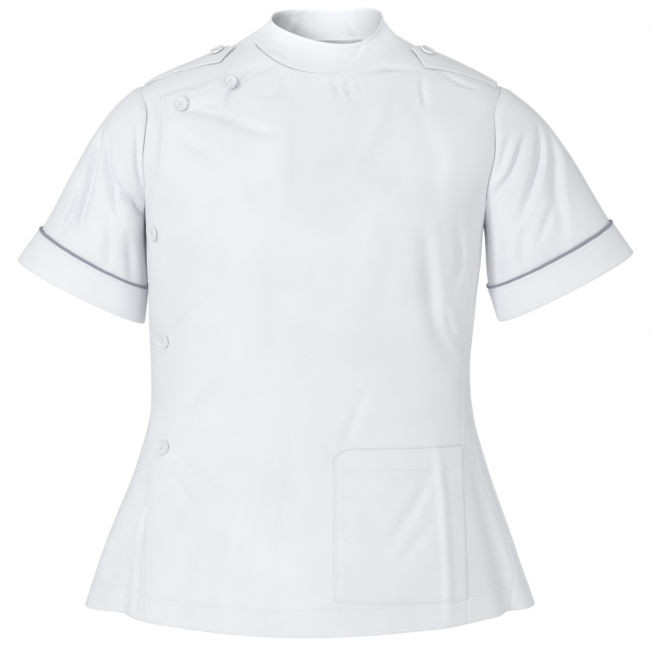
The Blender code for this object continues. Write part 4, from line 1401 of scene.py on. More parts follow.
    def outer_front(self) -> Array:
        """The wide front that wraps over to the wearer's right side.

        Returns:
            Its grid of points.
        """
        neck = self.neck_line(self.collar_end_turn, 0.0)
        top_edge = np.concatenate([np.array(self.outer_top_edge), neck[:1]])
        shoulder = FORM.evenly(FORM.shoulder_place(Side.LEFT)[::-1], np.linspace(0, 1, 45))
        top = joined(FORM.evenly(smooth_line(top_edge), np.linspace(0, 1, 47)), neck, shoulder)
        left = FORM.evenly(smooth_line(self.outer_edge), self.rows())
        right = self.side_line(self.princess_seam, Side.LEFT, (self.princess_armhole_turn, 0.0), 1)
        places = closer_at_edges(self.filled(top, left, right, (3, 6)), 142)
        low = smooth_step((self.edge_lift_below - places[..., 1]) / self.edge_lift_reach)
        near = smooth_step((places[..., 0] - places[:, :1, 0] + self.edge_lift_angle) / self.edge_lift_angle)
        lift = lap_lift(places[..., 0]) + self.edge_lift * low * near
        return self.raised(places, lift, (Edge.RIGHT, Edge.TOP), (Edge.LEFT,))

    def under_front(self) -> Array:
        """The narrow front on the wearer's right, which carries on under the lap.

        Returns:
            Its grid of points.
        """
        neck = self.neck_line(180.0, self.under_neck_end_turn)
        top = joined(FORM.evenly(FORM.shoulder_place(Side.RIGHT), np.linspace(0, 1, 41)), neck)
        left = self.side_line(self.right_side_seam, Side.RIGHT, (180.0, 0.01), -1)
        edge = np.concatenate([np.array(self.under_edge), top[-1:]])
        right = FORM.evenly(smooth_line(edge), self.rows())
        places = closer_at_edges(self.filled(top, left, right, (3, 3)), 54, 0.03)
        return self.raised(places, 0.0, (Edge.LEFT, Edge.TOP), (Edge.RIGHT,))

    def side_panel(self) -> Array:
        """The narrow panel between the outer front and the back, on the wearer's left.

        Returns:
            Its grid of points.
        """
        rows = self.rows(to_top=False)
        arm = FORM.armhole_place(Side.LEFT, np.linspace(self.princess_armhole_turn, 180.0, 60))
        seams = ((self.princess_seam, arm[:1], -1), (self.left_side_seam, arm[-1:], 1))
        left, right = (
            self.drawn_back(FORM.evenly(smooth_line(joined(np.array(seam), end[[0, 0]])), rows), direction)
            for seam, end, direction in seams
        )
        edges = self.closed_edges(FORM.evenly(arm, np.linspace(0.0, 1.0, 31)), left, right)
        places = closer_at_edges(patch(*edges, rows, (1, 1)), 26, 0.08)
        return self.raised(places, 0.0, (Edge.LEFT, Edge.RIGHT))

    def back(self) -> Array:
        """The back, in one piece from side seam to side seam.

        Returns:
            Its grid of points.
        """
        shares = np.linspace(0, 1, 41)
        first = FORM.shoulder_place(Side.LEFT) * [-1, 1]
        last = FORM.shoulder_place(Side.RIGHT)[::-1] * [-1, 1]
        neck = self.neck_line(0.0, -180.0)
        neck[:, 0] = -np.abs(neck[:, 0])
        top = joined(FORM.evenly(first, shares), neck, FORM.evenly(last, shares))
        left = self.side_line(self.left_side_seam, Side.LEFT, (-180.0, -0.01), -1)
        right = self.side_line(np.array(self.right_side_seam) - [360.0, 0.0], Side.RIGHT, (-180.0, -0.01), 1)
        places = closer_at_edges(self.filled(top, left, right, (6, 6)), 144)
        return self.raised(places, 0.0, (Edge.LEFT, Edge.RIGHT, Edge.TOP))

    def build(self) -> list[Piece]:
        """Make the four panels and their stitching: a row along each hem, and two round the lap.

        Returns:
            The pieces.
        """
        panels = (
            ("front_outer", self.outer_front, (0.64, 0.72), 0.310),
            ("front_under", self.under_front, (0.22, 0.72), 0.052),
            ("side_panel", self.side_panel, (0.10, 0.53), 0.026),
            ("back", self.back, (0.78, 0.73), 0.405),
        )
        pieces = []
        for node, surface, flat, area in panels:
            grid = surface()
            sheet = Sheet(f"{node}_cloth", node, grid, outward(grid), CLOTH_MM)
            sheet.follow(self.hem_depth, Edge.BOTTOM)
            if node == "front_outer":
                sheet.follow(TOPSTITCH_MM, Edge.LEFT)
                sheet.follow(TOPSTITCH_MM, Edge.TOP, slice(0, grid.shape[1] // 3))
            piece, sewing = sheet.build(self.finishes)
            pieces += [piece, sewing]
        return pieces


# ---- The collar


@dataclass
class Collar:
    """The stand collar: a stiffened double band whose outer end laps over its inner end."""

    finishes: Finishes
    outer_end: float = 160.0
    inner_end: float = -240.0
    rows: int = 26
    columns: int = 270
    top_half_width: float = 66.0
    top_front: float = 54.0
    top_back: float = 50.0
    top_centre: float = 8.0
    top_skew: float = 16.0
    top_side_height: float = 21.0
    top_front_height: float = -15.0
    top_back_height: float = 36.0
    top_tilt: float = 3.0
    stand_off: float = 0.3
    flare: float = 1.5
    lift_from: float = 60.0
    lift_to: float = 118.0
    extra_rise: float = 0.2
    end_lift: float = 1.2
    end_reach: float = 16.0
    seam_depth: float = 0.5
    # Creases as turns round the neck and shares up the band.
    creases: tuple[Crease, ...] = (
        Crease(((79, 0.02), (72, 0.45), (64, 0.98)), -1.1, 4.0, lean=0.3, fade=0.15),
        Crease(((70, 0.0), (62, 0.5), (54, 1.0)), 0.8, 4.5, fade=0.2),
        Crease(((150, 0.02), (135, 0.25), (118, 0.1)), -0.9, 3.6),
        Crease(((154, 0.3), (140, 0.5), (120, 0.4)), -0.6, 4.5),
        Crease(((20, 0.1), (26, 0.5), (30, 0.95)), -0.8, 6.0),
        Crease(((-60, 0.1), (-66, 0.5), (-62, 0.95)), -0.9, 6.0),
        Crease(((-130, 0.1), (-122, 0.5), (-126, 0.95)), -0.9, 6.0),
    )

    def smooth(self, turn: Array, share: Array) -> Array:
        """The band without its creases: a blend from the neck seam to the leaning top edge, flared below.

        Args:
            turn: degrees round the neck.
            share: share of the way up the band.

        Returns:
            Points in millimetres.
        """
        turn, share = np.broadcast_arrays(np.asarray(turn, float), np.asarray(share, float))
        place = FORM.neck_place((turn + 180.0) % 360.0 - 180.0)
        base = FORM.point(place[..., 0], place[..., 1]) + [0.0, 0.0, self.stand_off]
        sine, cosine = np.sin(np.radians(turn)), np.cos(np.radians(turn))
        depth = np.where(sine > 0.0, self.top_front, self.top_back)
        slope = 0.5 * (self.top_front_height - self.top_back_height)
        dish = 0.5 * (self.top_front_height + self.top_back_height) - self.top_side_height
        height = self.top_side_height + slope * sine + dish * sine**2
        top = np.stack([
            self.top_centre + self.top_half_width * cosine + self.top_skew * np.clip(sine, 0, 1) ** 2,
            -depth * sine,
            height + self.top_tilt * cosine * (1.0 - sine) / 2.0,
        ], axis=-1)
        share = share[..., None]
        inward = 1.0 - (1.0 - share) ** self.flare
        points = base * (1.0 - share) + top * share
        points[..., :2] = (base * (1.0 - inward) + top * inward)[..., :2]
        return points

    def build(self) -> list[Piece]:
        """Make the band and its topstitching.

        Returns:
            The pieces.
        """
        turn = np.linspace(self.outer_end, self.inner_end, self.columns + 1)[None, :]
        share = np.linspace(0.0, 1.0, self.rows + 1)[:, None]
        smooth = self.smooth(turn, share)
        normals = outward(smooth)
        lift = (LAP_LIFT_MM + 0.2) * smooth_step((turn - self.lift_from) / (self.lift_to - self.lift_from))
        lift = lift + self.end_lift * smooth_step((turn - self.outer_end + self.end_reach) / self.end_reach)
        relief = creased(smooth, normals, self.smooth, self.creases) + 0.25 * unevenness(smooth, 42.0, 31)
        relief = relief + seam_roll(smooth, self.seam_depth, edges=(Edge.BOTTOM,))
        for edge in (Edge.TOP, Edge.LEFT):
            relief = relief + stitch_groove(smooth, BAND_STITCH_MM, edge, 0.25)
        rise = lift[..., None] * np.array([0.0, 0.0, self.extra_rise])
        grid = smooth + (relief + lift)[..., None] * normals + rise
        sheet = Sheet("collar_band", "collar", grid, outward(grid), DOUBLE_CLOTH_MM)
        for edge in (Edge.TOP, Edge.LEFT):
            sheet.follow(BAND_STITCH_MM, edge)
        piece, sewing = sheet.build(self.finishes)
        return [piece, sewing]


# ---- Sleeves


@dataclass(frozen=True)
class SleeveEnd:
    """A ring round a sleeve, seen from the front: its outer and inner ends, half its depth from front to
    back, and how far its front hangs lower."""

    outer: Pair
    inner: Pair
    half_depth: float
    front_drop: float


@dataclass(frozen=True)
class SleeveCut:
    """One sleeve's ends, its pull at the top, and its creases as turns from the top and shares along it."""

    pipe: SleeveEnd
    hem: SleeveEnd
    top_pull: float
    creases: tuple[Crease, ...]


# Half the depth from front to back, and how far the front hangs lower, of both sleeves' ends.
PIPE_DEPTHS = (41.0, 6.0)
HEM_DEPTHS = (44.0, 3.5)

RIGHT_SLEEVE_CREASES = (
    Crease(((22, 0.30), (34, 0.42), (48, 0.545), (58, 0.695), (70, 0.89)), -11.1, 7.0, lean=-0.3, banks=0.4),
    Crease(((40, 0.56), (46, 0.75), (48, 0.95)), -6.5, 6.0, lean=-0.3),
    Crease(((38, 0.30), (60, 0.395), (85, 0.425), (112, 0.50)), -8.5, 6.0, lean=0.2, banks=0.4),
    Crease(((64, 0.38), (92, 0.35), (126, 0.205), (144, 0.08)), -8.5, 6.0, lean=0.3, banks=0.4),
    Crease(((54, 0.09), (88, 0.07), (116, 0.06)), -4.9, 5.0),
    Crease(((104, 0.27), (130, 0.14), (150, 0.05)), -6.5, 5.0),
    Crease(((92, 0.55), (104, 0.75), (106, 0.97)), -5.2, 8.0, lean=0.3),
    Crease(((122, 0.50), (134, 0.75), (136, 0.97)), -4.5, 8.0),
    Crease(((338, 0.30), (322, 0.48), (312, 0.66), (304, 0.92)), -7.5, 7.0, lean=0.3, banks=0.4),
    Crease(((300, 0.34), (278, 0.40), (254, 0.47)), -6.0, 6.5, banks=0.4),
    Crease(((296, 0.16), (262, 0.12), (226, 0.06)), -5.5, 6.0, lean=-0.3),
    Crease(((264, 0.55), (256, 0.75), (254, 0.97)), -4.5, 8.0),
)

LEFT_SLEEVE_CREASES = (
    Crease(((30, 0.27), (40, 0.34), (58, 0.40), (80, 0.44), (108, 0.515)), -8.0, 7.0, lean=0.3, banks=0.4),
    Crease(((50, 0.255), (77, 0.225), (100, 0.19), (126, 0.13)), -7.0, 6.0, lean=-0.3, banks=0.4),
    Crease(((60, 0.155), (87, 0.09), (112, 0.05)), -4.5, 5.5),
    Crease(((22, 0.34), (38, 0.47), (58, 0.60), (76, 0.86)), -6.5, 11.0, lean=0.3, banks=0.5),
    Crease(((68, 0.61), (82, 0.68), (96, 0.76)), -4.5, 7.0),
    Crease(((100, 0.56), (112, 0.75), (114, 0.97)), -4.0, 8.0, lean=-0.3),
    Crease(((130, 0.45), (140, 0.70), (142, 0.97)), -3.5, 8.0),
    Crease(((336, 0.28), (322, 0.42), (310, 0.62), (306, 0.90)), -7.5, 7.5, lean=-0.3, banks=0.4),
    Crease(((304, 0.30), (280, 0.34), (252, 0.44)), -6.0, 6.5, banks=0.4),
    Crease(((300, 0.14), (264, 0.10), (230, 0.05)), -5.5, 6.0, lean=0.3),
    Crease(((266, 0.52), (258, 0.75), (256, 0.97)), -4.5, 8.0),
)

SLEEVE_CUTS = {
    Side.RIGHT: SleeveCut(
        SleeveEnd((-333.6, -230.4), (-208.0, -299.0), *PIPE_DEPTHS),
        SleeveEnd((-361.0, -268.0), (-212.5, -342.5), *HEM_DEPTHS),
        175.0,
        RIGHT_SLEEVE_CREASES,
    ),
    Side.LEFT: SleeveCut(
        SleeveEnd((348.0, -222.0), (203.0, -298.8), *PIPE_DEPTHS),
        SleeveEnd((374.4, -258.5), (216.5, -340.5), *HEM_DEPTHS),
        195.0,
        LEFT_SLEEVE_CREASES,
    ),
}


@dataclass
class Sleeve:
    """A wide short sleeve with corded piping and a turned-up cuff."""

    finishes: Finishes
    side: Side
    columns: int = 168
    rows: int = 92
    cuff_rows: int = 26
    cuff_stitch_row: int = 3
    piping_sides: int = 10
    top_direction: Pair = (0.94, -0.34)
    under_direction: Pair = (0.25, -0.97)
    under_pull: float = 45.0
    forward_pull: float = 16.0
    end_pull_top: float = 130.0
    end_pull_under: float = 45.0
    armhole_spread: float = 0.35
    armhole_rise: float = 0.25
    stand_off_top: float = 0.45
    stand_off_under: float = 0.7
    piping_radius: float = 1.7
    piping_gap: float = 0.2
    cuff_proud: float = 1.6
    seam_depth: float = 0.5
    end_tuck: float = 0.7

    @property
    def cut(self) -> SleeveCut:
        """This side's cut."""
        return SLEEVE_CUTS[self.side]

    def ring(self, end: SleeveEnd, turn: Array, grow: float = 0.0) -> Array:
        """The ring at one end: an ellipse across the line between its outer and inner ends.

        Args:
            end: the piping seam or the hem.
            turn: degrees from the outer end, forward first.
            grow: how much wider it is made.

        Returns:
            Points in millimetres.
        """
        outer, inner = (np.array([x, 0.0, z]) for x, z in (end.outer, end.inner))
        turn = np.radians(turn)[..., None]
        half = 0.5 * (outer - inner)
        half = half * (1.0 + grow / np.linalg.norm(half))
        forward = np.array([0.0, -(end.half_depth + grow), -end.front_drop])
        return 0.5 * (outer + inner) + half * np.cos(turn) + forward * np.sin(turn)

    def smooth(self, turn: Array, along: Array) -> Array:
        """The sleeve without its creases: cubic Hermite lines from the armhole to the piping seam.

        Args:
            turn: degrees from the top, forward first.
            along: share of the way from the armhole.

        Returns:
            Points in millimetres.
        """
        turn, along = np.broadcast_arrays(np.asarray(turn, float), np.asarray(along, float))
        sign = self.side.value
        place = FORM.armhole_place(self.side, (turn + 180.0) % 360.0 - 180.0)
        up, forward = np.cos(np.radians(turn)), np.sin(np.radians(turn))
        top_share = ((1.0 + up) / 2.0)[..., None]
        spread, rise = -self.armhole_spread * forward, self.armhole_rise * up
        out = unit(np.stack([np.full_like(up, sign), spread, rise], axis=-1))
        stand_off = blend(self.stand_off_under, self.stand_off_top, top_share)
        start = FORM.point(place[..., 0], place[..., 1]) + stand_off * out
        (top_x, top_z), (under_x, under_z) = self.top_direction, self.under_direction
        pull = blend(
            self.under_pull * np.array([under_x * sign, 0.0, under_z]),
            self.cut.top_pull * np.array([top_x * sign, 0.0, top_z]),
            top_share,
        )
        pull = pull + np.stack([0 * up, -self.forward_pull * forward, 0 * up], axis=-1)
        end = self.ring(self.cut.pipe, turn)
        end_pull = blend(self.end_pull_under, self.end_pull_top, top_share)
        last = end_pull * unit(self.ring(self.cut.hem, turn) - end)
        return hermite_blend(along[..., None], start, pull, end, last)

    def turns(self) -> Array:
        """The turns of the columns."""
        return np.arange(self.columns) * 360.0 / self.columns

    def seam_line(self, turn: Array) -> Array:
        """The groove of the seam under the arm: a narrow bell curve at half a turn."""
        return -self.seam_depth * bell((turn - 180.0) / 1.6)

    def cloth(self) -> tuple[Array, Array]:
        """The sleeve's surface: full at its head, gathered at both seams and tucked in there.

        Returns:
            Its grid and its normals.
        """
        turn = self.turns()[None, :]
        along = np.linspace(0.0, 1.0, self.rows + 1)[:, None]
        to_end = 1.0 - along
        smooth = self.smooth(turn, along)
        last = unit(smooth[-1] - smooth[-2])
        smooth[-1] = smooth[-1] - last * (self.piping_radius + self.piping_gap) * 0.5
        centre = smooth.mean(axis=1, keepdims=True)
        normals = outward(smooth, True, centre)
        relief = creased(smooth, normals, self.smooth, self.cut.creases)
        head = 1.3 * bell((along - 0.05) / 0.035) * np.clip(np.cos(np.radians(turn)) + 0.35, 0, 1)
        gathers = 0.35 * bell(along / 0.06) + 0.45 * bell(to_end / 0.07)
        tuck = 0.1 * bell(along / 0.012) + self.end_tuck * bell(to_end / 0.012)
        relief = relief + head + unevenness(smooth, 15.0, 41) * gathers - tuck + self.seam_line(turn)
        relief = relief + 0.5 * unevenness(smooth, 60.0, 42)
        grid = smooth + relief[..., None] * normals
        return grid, outward(grid, True, centre)

    def cuff(self) -> tuple[Array, Array]:
        """The cuff's surface: a flared band that stands a little proud of the sleeve.

        Returns:
            Its grid and its normals.
        """
        turn = self.turns()
        upper = self.ring(self.cut.pipe, turn, self.cuff_proud)
        lower = self.ring(self.cut.hem, turn, self.cuff_proud)
        first = self.piping_radius * 0.6 / lengths(lower - upper)
        share = np.linspace(0.0, 1.0, self.cuff_rows + 1)[:, None, None]
        smooth = upper + (lower - upper) * (first + (1.0 - first) * share)
        centre = smooth.mean(axis=1, keepdims=True)
        normals = outward(smooth, True, centre)
        share = share[..., 0]
        waves = unevenness(smooth, 46.0, 51) * 0.7 + unevenness(smooth, 17.0, 52) * 0.3 * (1.0 - share) ** 2
        tuck = self.end_tuck * bell(share / 0.05) + 0.5 * smooth_step((share - 0.93) / 0.07)
        relief = waves * (0.4 + 0.6 * share) - tuck + self.seam_line(turn[None, :])
        grid = smooth + relief[..., None] * normals
        return grid, outward(grid, True, centre)

    def piping(self) -> Piece:
        """The piping: a round cord swept along the seam's ring, a little uneven.

        Returns:
            The object.
        """
        turn = self.turns()
        line = self.ring(self.cut.pipe, turn, self.cuff_proud)
        ahead = unit(self.ring(self.cut.hem, turn, self.cuff_proud) - line)
        out = line - line.mean(axis=0)
        out = unit(out - np.sum(out * ahead, axis=-1, keepdims=True) * ahead)
        line = line + 0.25 * unevenness(line, 16.0, 61)[:, None] * ahead
        side = np.arange(self.piping_sides)[:, None, None] * 2.0 * math.pi / self.piping_sides
        tube = line + self.piping_radius * (np.cos(side) * out + np.sin(side) * ahead)
        index = np.arange(self.piping_sides * self.columns).reshape(self.piping_sides, self.columns)
        above, beside = np.roll(index, -1, axis=0), np.roll(index, -1, axis=1)
        quads = np.stack([index, beside, np.roll(above, -1, axis=1), above], axis=-1).reshape(-1, 4)
        turns_out = np.sum(np.cross(tube[0, 1] - tube[0, 0], tube[1, 0] - tube[0, 0]) * out[0])
        quads = quads if turns_out > 0.0 else quads[:, ::-1]
        run = np.cumsum(lengths(line - np.roll(line, 1, axis=0))[:, 0])
        round_it = side[:, :, 0] * self.piping_radius
        uv = np.stack(np.broadcast_arrays(run[None, :], round_it), axis=-1).reshape(-1, 2) * MM
        name = f"piping_{self.side.label}_cord"
        return new_object(name, tube.reshape(-1, 3), quads.tolist(), self.finishes.piping, uv)

    def build(self) -> list[Piece]:
        """Make the sleeve, its cuff and its piping, with their stitching.

        Returns:
            The pieces.
        """
        label = self.side.label
        sleeve = shell(f"sleeve_{label}_cloth", *self.cloth(), CLOTH_MM, self.finishes.cloth, closed=True)
        dress(sleeve, [f"sleeve_{label}"])
        sheet = Sheet(f"cuff_{label}_band", f"cuff_{label}", *self.cuff(), DOUBLE_CLOTH_MM, closed=True)
        line, turned = (
            np.concatenate([values[self.cuff_stitch_row], values[self.cuff_stitch_row, :1]])
            for values in (sheet.grid, sheet.normals)
        )
        sheet.rows.add(line, turned, sheet.lift)
        cuff, sewing = sheet.build(self.finishes)
        piping = dress(self.piping(), [f"piping_{label}"])
        return [sleeve, cuff, sewing, piping]


# ---- Shoulder straps


@dataclass
class ShoulderStrap:
    """A strap sewn in at the armhole, with a pointed end that buttons near the neck."""

    finishes: Finishes
    side: Side
    end_x: float
    tip_x: float
    end_y: float
    tip_y: float
    half_width: float = 21.0
    tip_length: float = 16.0
    bluntness: float = 0.04
    end_curve: float = 0.0055
    lift: float = 2.0
    tip_lift: float = 1.4
    tip_lift_from: float = 0.45
    stitch_depth: float = 0.5
    bow: float = 0.5
    edge_roll: float = 0.8
    edge_roll_reach: float = 2.4
    button_from_tip: float = 20.0
    length_count: int = 64
    tip_count: int = 12
    width_count: int = 40

    def surface(self) -> tuple[Array, Array]:
        """The strap's surface: a band laid over the shoulder, narrowing to its point.

        It rises towards the tip, bows across, rolls down at its edges and is pulled in along its stitches.

        Returns:
            Its grid and its normals.
        """
        tip_share = self.tip_length / abs(self.end_x - self.tip_x)
        straight = np.linspace(0.0, 1.0 - tip_share, self.length_count)
        point = np.linspace(1.0 - tip_share, 1.0 - self.bluntness * tip_share, self.tip_count + 1)
        along = joined(straight, point)
        width = np.linspace(-1.0, 1.0, self.width_count + 1)
        half = self.half_width * np.clip((1.0 - along) / tip_share, self.bluntness, 1.0)[:, None]
        across = half * width[None]
        y = blend(self.end_y, self.tip_y, along)[:, None] + across
        x = blend(self.end_x, self.tip_x, along)[:, None]
        x = x - self.side.value * self.end_curve * y**2 * (1.0 - along[:, None]) ** 2
        points = np.stack([x, y, FORM.shoulder_height(x, y)], axis=-1)
        below = points.mean(axis=(0, 1)) - [0.0, 0.0, 4.0 * self.half_width]
        normals = outward(points, centre=below)
        to_tip = (along - self.tip_lift_from) / (1.0 - self.tip_lift_from)
        rise = self.lift + self.tip_lift * smooth_step(to_tip)
        edge = (1.0 - np.abs(width)[None]) * half
        groove = self.stitch_depth * bell((edge - BAND_STITCH_MM) / 1.8)
        roll = self.edge_roll * (1.0 - smooth_step(edge / self.edge_roll_reach))
        relief = rise[:, None] - groove - roll + self.bow * (1.0 - width[None] ** 2)
        points = points + (relief + 0.35 * unevenness(points, 34.0, 71))[..., None] * normals
        return points, outward(points, centre=below)

    def build(self) -> list[Piece]:
        """Make the strap, its stitching and its button.

        Returns:
            The pieces.
        """
        label = self.side.label
        sheet = Sheet(f"strap_{label}_band", f"strap_{label}", *self.surface(), DOUBLE_CLOTH_MM)
        column = round(self.width_count * BAND_STITCH_MM / (2.0 * self.half_width))
        last = self.length_count + 8
        for at in (column, self.width_count - column):
            sheet.rows.add(sheet.grid[:last, at], sheet.normals[:last, at], sheet.lift)
        piece, sewing = sheet.build(self.finishes)
        middle, middle_normals = (values[:, self.width_count // 2] for values in (sheet.grid, sheet.normals))
        wanted = self.tip_x + self.side.value * self.button_from_tip
        row = int(np.argmin(np.abs(middle[:, 0] - wanted)))
        centre = middle[row] + (0.5 * DOUBLE_CLOTH_MM + BUTTON_GAP_MM) * middle_normals[row]
        button = Button(self.finishes).build(f"strap_button_{label}", centre, middle_normals[row])
        return [piece, sewing, *button]


# ---- The pocket


@dataclass
class Pocket:
    """The patch pocket on the wearer's left, caught in the panel seam and stitched to the front."""

    finishes: Finishes
    panels: BodyPanels
    top_inner: Pair = (82.5, -482.0)
    bottom_inner: Pair = (83.4, -651.0)
    seam_top: float = -485.5
    seam_bottom: float = -661.0
    corner_cut: Pair = (4.5, 9.0)
    seam_margin: float = 1.0
    rows: int = 84
    columns: int = 60
    mouth_lift: float = 0.7
    mouth_reach: float = 22.0
    # How far inside each edge a row of stitches runs. The top one holds the mouth's hem.
    stitch_rows: tuple[tuple[Edge, float], ...] = ((Edge.LEFT, 2.5), (Edge.BOTTOM, 2.5), (Edge.TOP, 24.0))

    def places(self) -> Array:
        """The pocket's grid of angles and heights, with its top inner corner cut off.

        Returns:
            The grid, rows first.
        """
        across = np.linspace(0.0, 1.0, self.columns + 1)
        up = np.linspace(0.0, 1.0, self.rows + 1)
        corner = np.array(self.top_inner) - [0.0, self.corner_cut[1]]
        inner = blend(np.array(self.bottom_inner), corner, up[:, None])
        seam = smooth_line(self.panels.princess_seam)
        height = blend(self.seam_bottom, self.seam_top, up)
        shift = np.degrees(self.seam_margin / FORM.ring(height, "half_width"))
        outer = np.stack([np.interp(height, seam[:, 1], seam[:, 0]) + shift, height], axis=-1)
        cut = corner + [-self.corner_cut[0], self.corner_cut[1]]
        top = FORM.evenly(np.stack([corner, cut, outer[-1]]), across)
        bottom = FORM.evenly(np.stack([inner[0], outer[0]]), across)
        return closer_at_edges(patch(bottom, top, inner, outer, up, (1, 1)), self.columns, 0.03)

    def build(self) -> list[Piece]:
        """Make the pocket and its stitching.

        Returns:
            The pieces.
        """
        places = self.places()
        smooth = FORM.point(places[..., 0], places[..., 1])
        normals = outward(smooth)
        relief = body_relief(smooth, normals) + lap_lift(places[..., 0]) + PATCH_LIFT_MM
        relief = relief + 0.35 * unevenness(smooth, 48.0, 81) + seam_roll(smooth, edges=(Edge.RIGHT,))
        for edge, inside in self.stitch_rows:
            relief = relief + stitch_groove(smooth, inside, edge, 0.3)
        mouth = smooth_step(1.0 - (smooth[-1:, :, 2] - smooth[..., 2]) / self.mouth_reach)
        grid = smooth + (relief + self.mouth_lift * mouth)[..., None] * normals
        sheet = Sheet("pocket_patch", "pocket", grid, outward(grid), CLOTH_MM)
        for edge, inside in self.stitch_rows:
            sheet.follow(inside, edge)
        piece, sewing = sheet.build(self.finishes)
        return [piece, sewing]


# ---- Buttons

# How far a strap's button and a front button stand off the cloth.
BUTTON_GAP_MM = 0.4
FRONT_BUTTON_GAP_MM = 0.5


def across_and_up(normal: Array) -> tuple[Array, Array]:
    """Two directions across a normal: a level one, and the one that rises."""
    across = unit(np.cross([0.0, 0.0, 1.0], normal))
    return across, np.cross(normal, across)


@dataclass
class Button:
    """A four-hole cast button with a raised rim, sewn on with crossed thread."""

    finishes: Finishes
    radius: float = 9.0
    thickness: float = 3.0
    hole_offset: float = 1.75
    hole_radius: float = 0.85
    hole_depth: float = 0.45
    spokes: int = 56
    back_radii: tuple[float, ...] = (0.96, 0.85, 0.06)
    back_heights: tuple[float, ...] = (0.12, 0.0, 0.0)
    thread_height: float = 0.56
    thread_radius: float = 0.42
    thread_spans: float = 2.8

    def profile(self, radius: Array) -> Array:
        """The face's height at a share of the radius: a dished middle, a round rim and a rolled edge.

        Args:
            radius: shares of the radius.

        Returns:
            Shares of the thickness.
        """
        dish = 0.52 + 0.06 * radius**2
        rim = 0.44 * bell((radius - 0.83) / 0.12)
        rounding = 0.52 + 0.44 * (1.0 - np.sqrt(np.clip(1.0 - radius**2, 0, 1)))
        edge = smooth_step((radius - 0.88) / 0.12) * rounding
        return dish + rim - edge * 0.5

    def disc(self, name: str, centre: Array, normal: Array) -> Piece:
        """Make the button: a polar grid whose heights follow the profile, sunk at the four holes, with a flat
        back.

        Args:
            name: the object's name.
            centre: the middle of its back.
            normal: its outward direction.

        Returns:
            The object.
        """
        face = np.concatenate([np.linspace(0.06, 0.5, 15), np.linspace(0.55, 1.0, 13)])
        radii = np.concatenate([face, self.back_radii])[:, None]
        turn = np.arange(self.spokes)[None] * 2.0 * math.pi / self.spokes
        u, v = self.radius * radii * np.cos(turn), self.radius * radii * np.sin(turn)
        height = np.concatenate([self.profile(face), self.back_heights])[:, None] + 0.0 * u
        for su, sv in ((-1, -1), (-1, 1), (1, -1), (1, 1)):
            away = np.hypot(u - su * self.hole_offset, v - sv * self.hole_offset)[: len(face)]
            height[: len(face)] -= self.hole_depth * smooth_step(1.25 - away / self.hole_radius)
        across, up = across_and_up(normal)
        rise = height * self.thickness
        grid = centre + u[..., None] * across + v[..., None] * up + rise[..., None] * normal
        index = np.arange(u.size).reshape(u.shape)
        after = np.roll(index, -1, axis=1)
        quads = np.stack([index[:-1], index[1:], after[1:], after[:-1]], axis=-1).reshape(-1, 4).tolist()
        faces = quads + [index[0].tolist(), index[-1][::-1].tolist()]
        return new_object(name, grid.reshape(-1, 3), faces, self.finishes.button, sharp=60.0)

    def thread(self, name: str, centre: Array, normal: Array) -> Piece:
        """Make the sewing: two crossed bars of thread between opposite holes.

        Args:
            name: the object's name.
            centre: the middle of the button's back.
            normal: its outward direction.

        Returns:
            The object.
        """
        across, up = across_and_up(normal)
        middle = centre + self.thread_height * self.thickness * normal
        span = self.thread_spans * self.hole_offset
        rows = Stitching(length=span, pitch=span, radius=self.thread_radius)
        for slant in (1.0, -1.0):
            reach = 0.72 * span * unit(across + slant * up)
            ends = np.stack([middle - reach, middle, middle + reach])
            rows.add(ends, np.repeat(normal[None], 3, axis=0), 0.12)
        return rows.build(name, self.finishes.thread)

    def build(self, node: str, centre: Array, normal: Array) -> list[Piece]:
        """Make one button, its back's middle at the centre, and its thread, in place of a node."""
        disc = dress(self.disc(f"{node}_disc", centre, normal), [node])
        return [disc, dress(self.thread(f"{node}_thread", centre, normal))]


@dataclass
class FrontFastening:
    """The buttons down the lap, each in a worked buttonhole."""

    finishes: Finishes
    places: Places = ((120.0, -59.5), (135.5, -84.0), (157.5, -234.0), (153.0, -360.0), (148.7, -487.0))
    hole_length: float = 19.0
    hole_half_width: float = 0.9
    hole_lift: float = 0.15
    bar_step: float = 0.6
    bar_reach: float = 0.85

    def buttonhole(self, centre: Array, normal: Array) -> Stitching:
        """The buttonhole's close stitches: short bars in two rows, side by side across the slit.

        Args:
            centre: the middle of the slit.
            normal: the cloth's outward direction.

        Returns:
            The stitches.
        """
        across, up = across_and_up(normal)
        bars = Stitching(length=1.5, pitch=1.6, radius=0.24)
        at = np.arange(-self.hole_length / 2, self.hole_length / 2, self.bar_step)
        reach, normals = self.bar_reach * up, np.repeat(normal[None], 3, axis=0)
        for row in (-1, 1):
            for middle in centre + at[:, None] * across + row * self.hole_half_width * up:
                bars.add(np.stack([middle - reach, middle, middle + reach]), normals, 0.0)
        return bars

    def build(self) -> list[Piece]:
        """Make the buttons, their thread and their buttonholes.

        Returns:
            The pieces.
        """
        pieces = []
        for number, (angle, height) in enumerate(self.places, start=1):
            lift = float(lap_lift(np.array(angle))) + 0.5 * CLOTH_MM
            centre, normal = body_spot(angle, height, lift)
            back = centre + FRONT_BUTTON_GAP_MM * normal
            pieces += Button(self.finishes).build(f"button_{number}", back, normal)
            hole = self.buttonhole(centre + self.hole_lift * normal, normal)
            pieces.append(dress(hole.build(f"buttonhole_{number}", self.finishes.thread)))
        return pieces


# ---- Studio


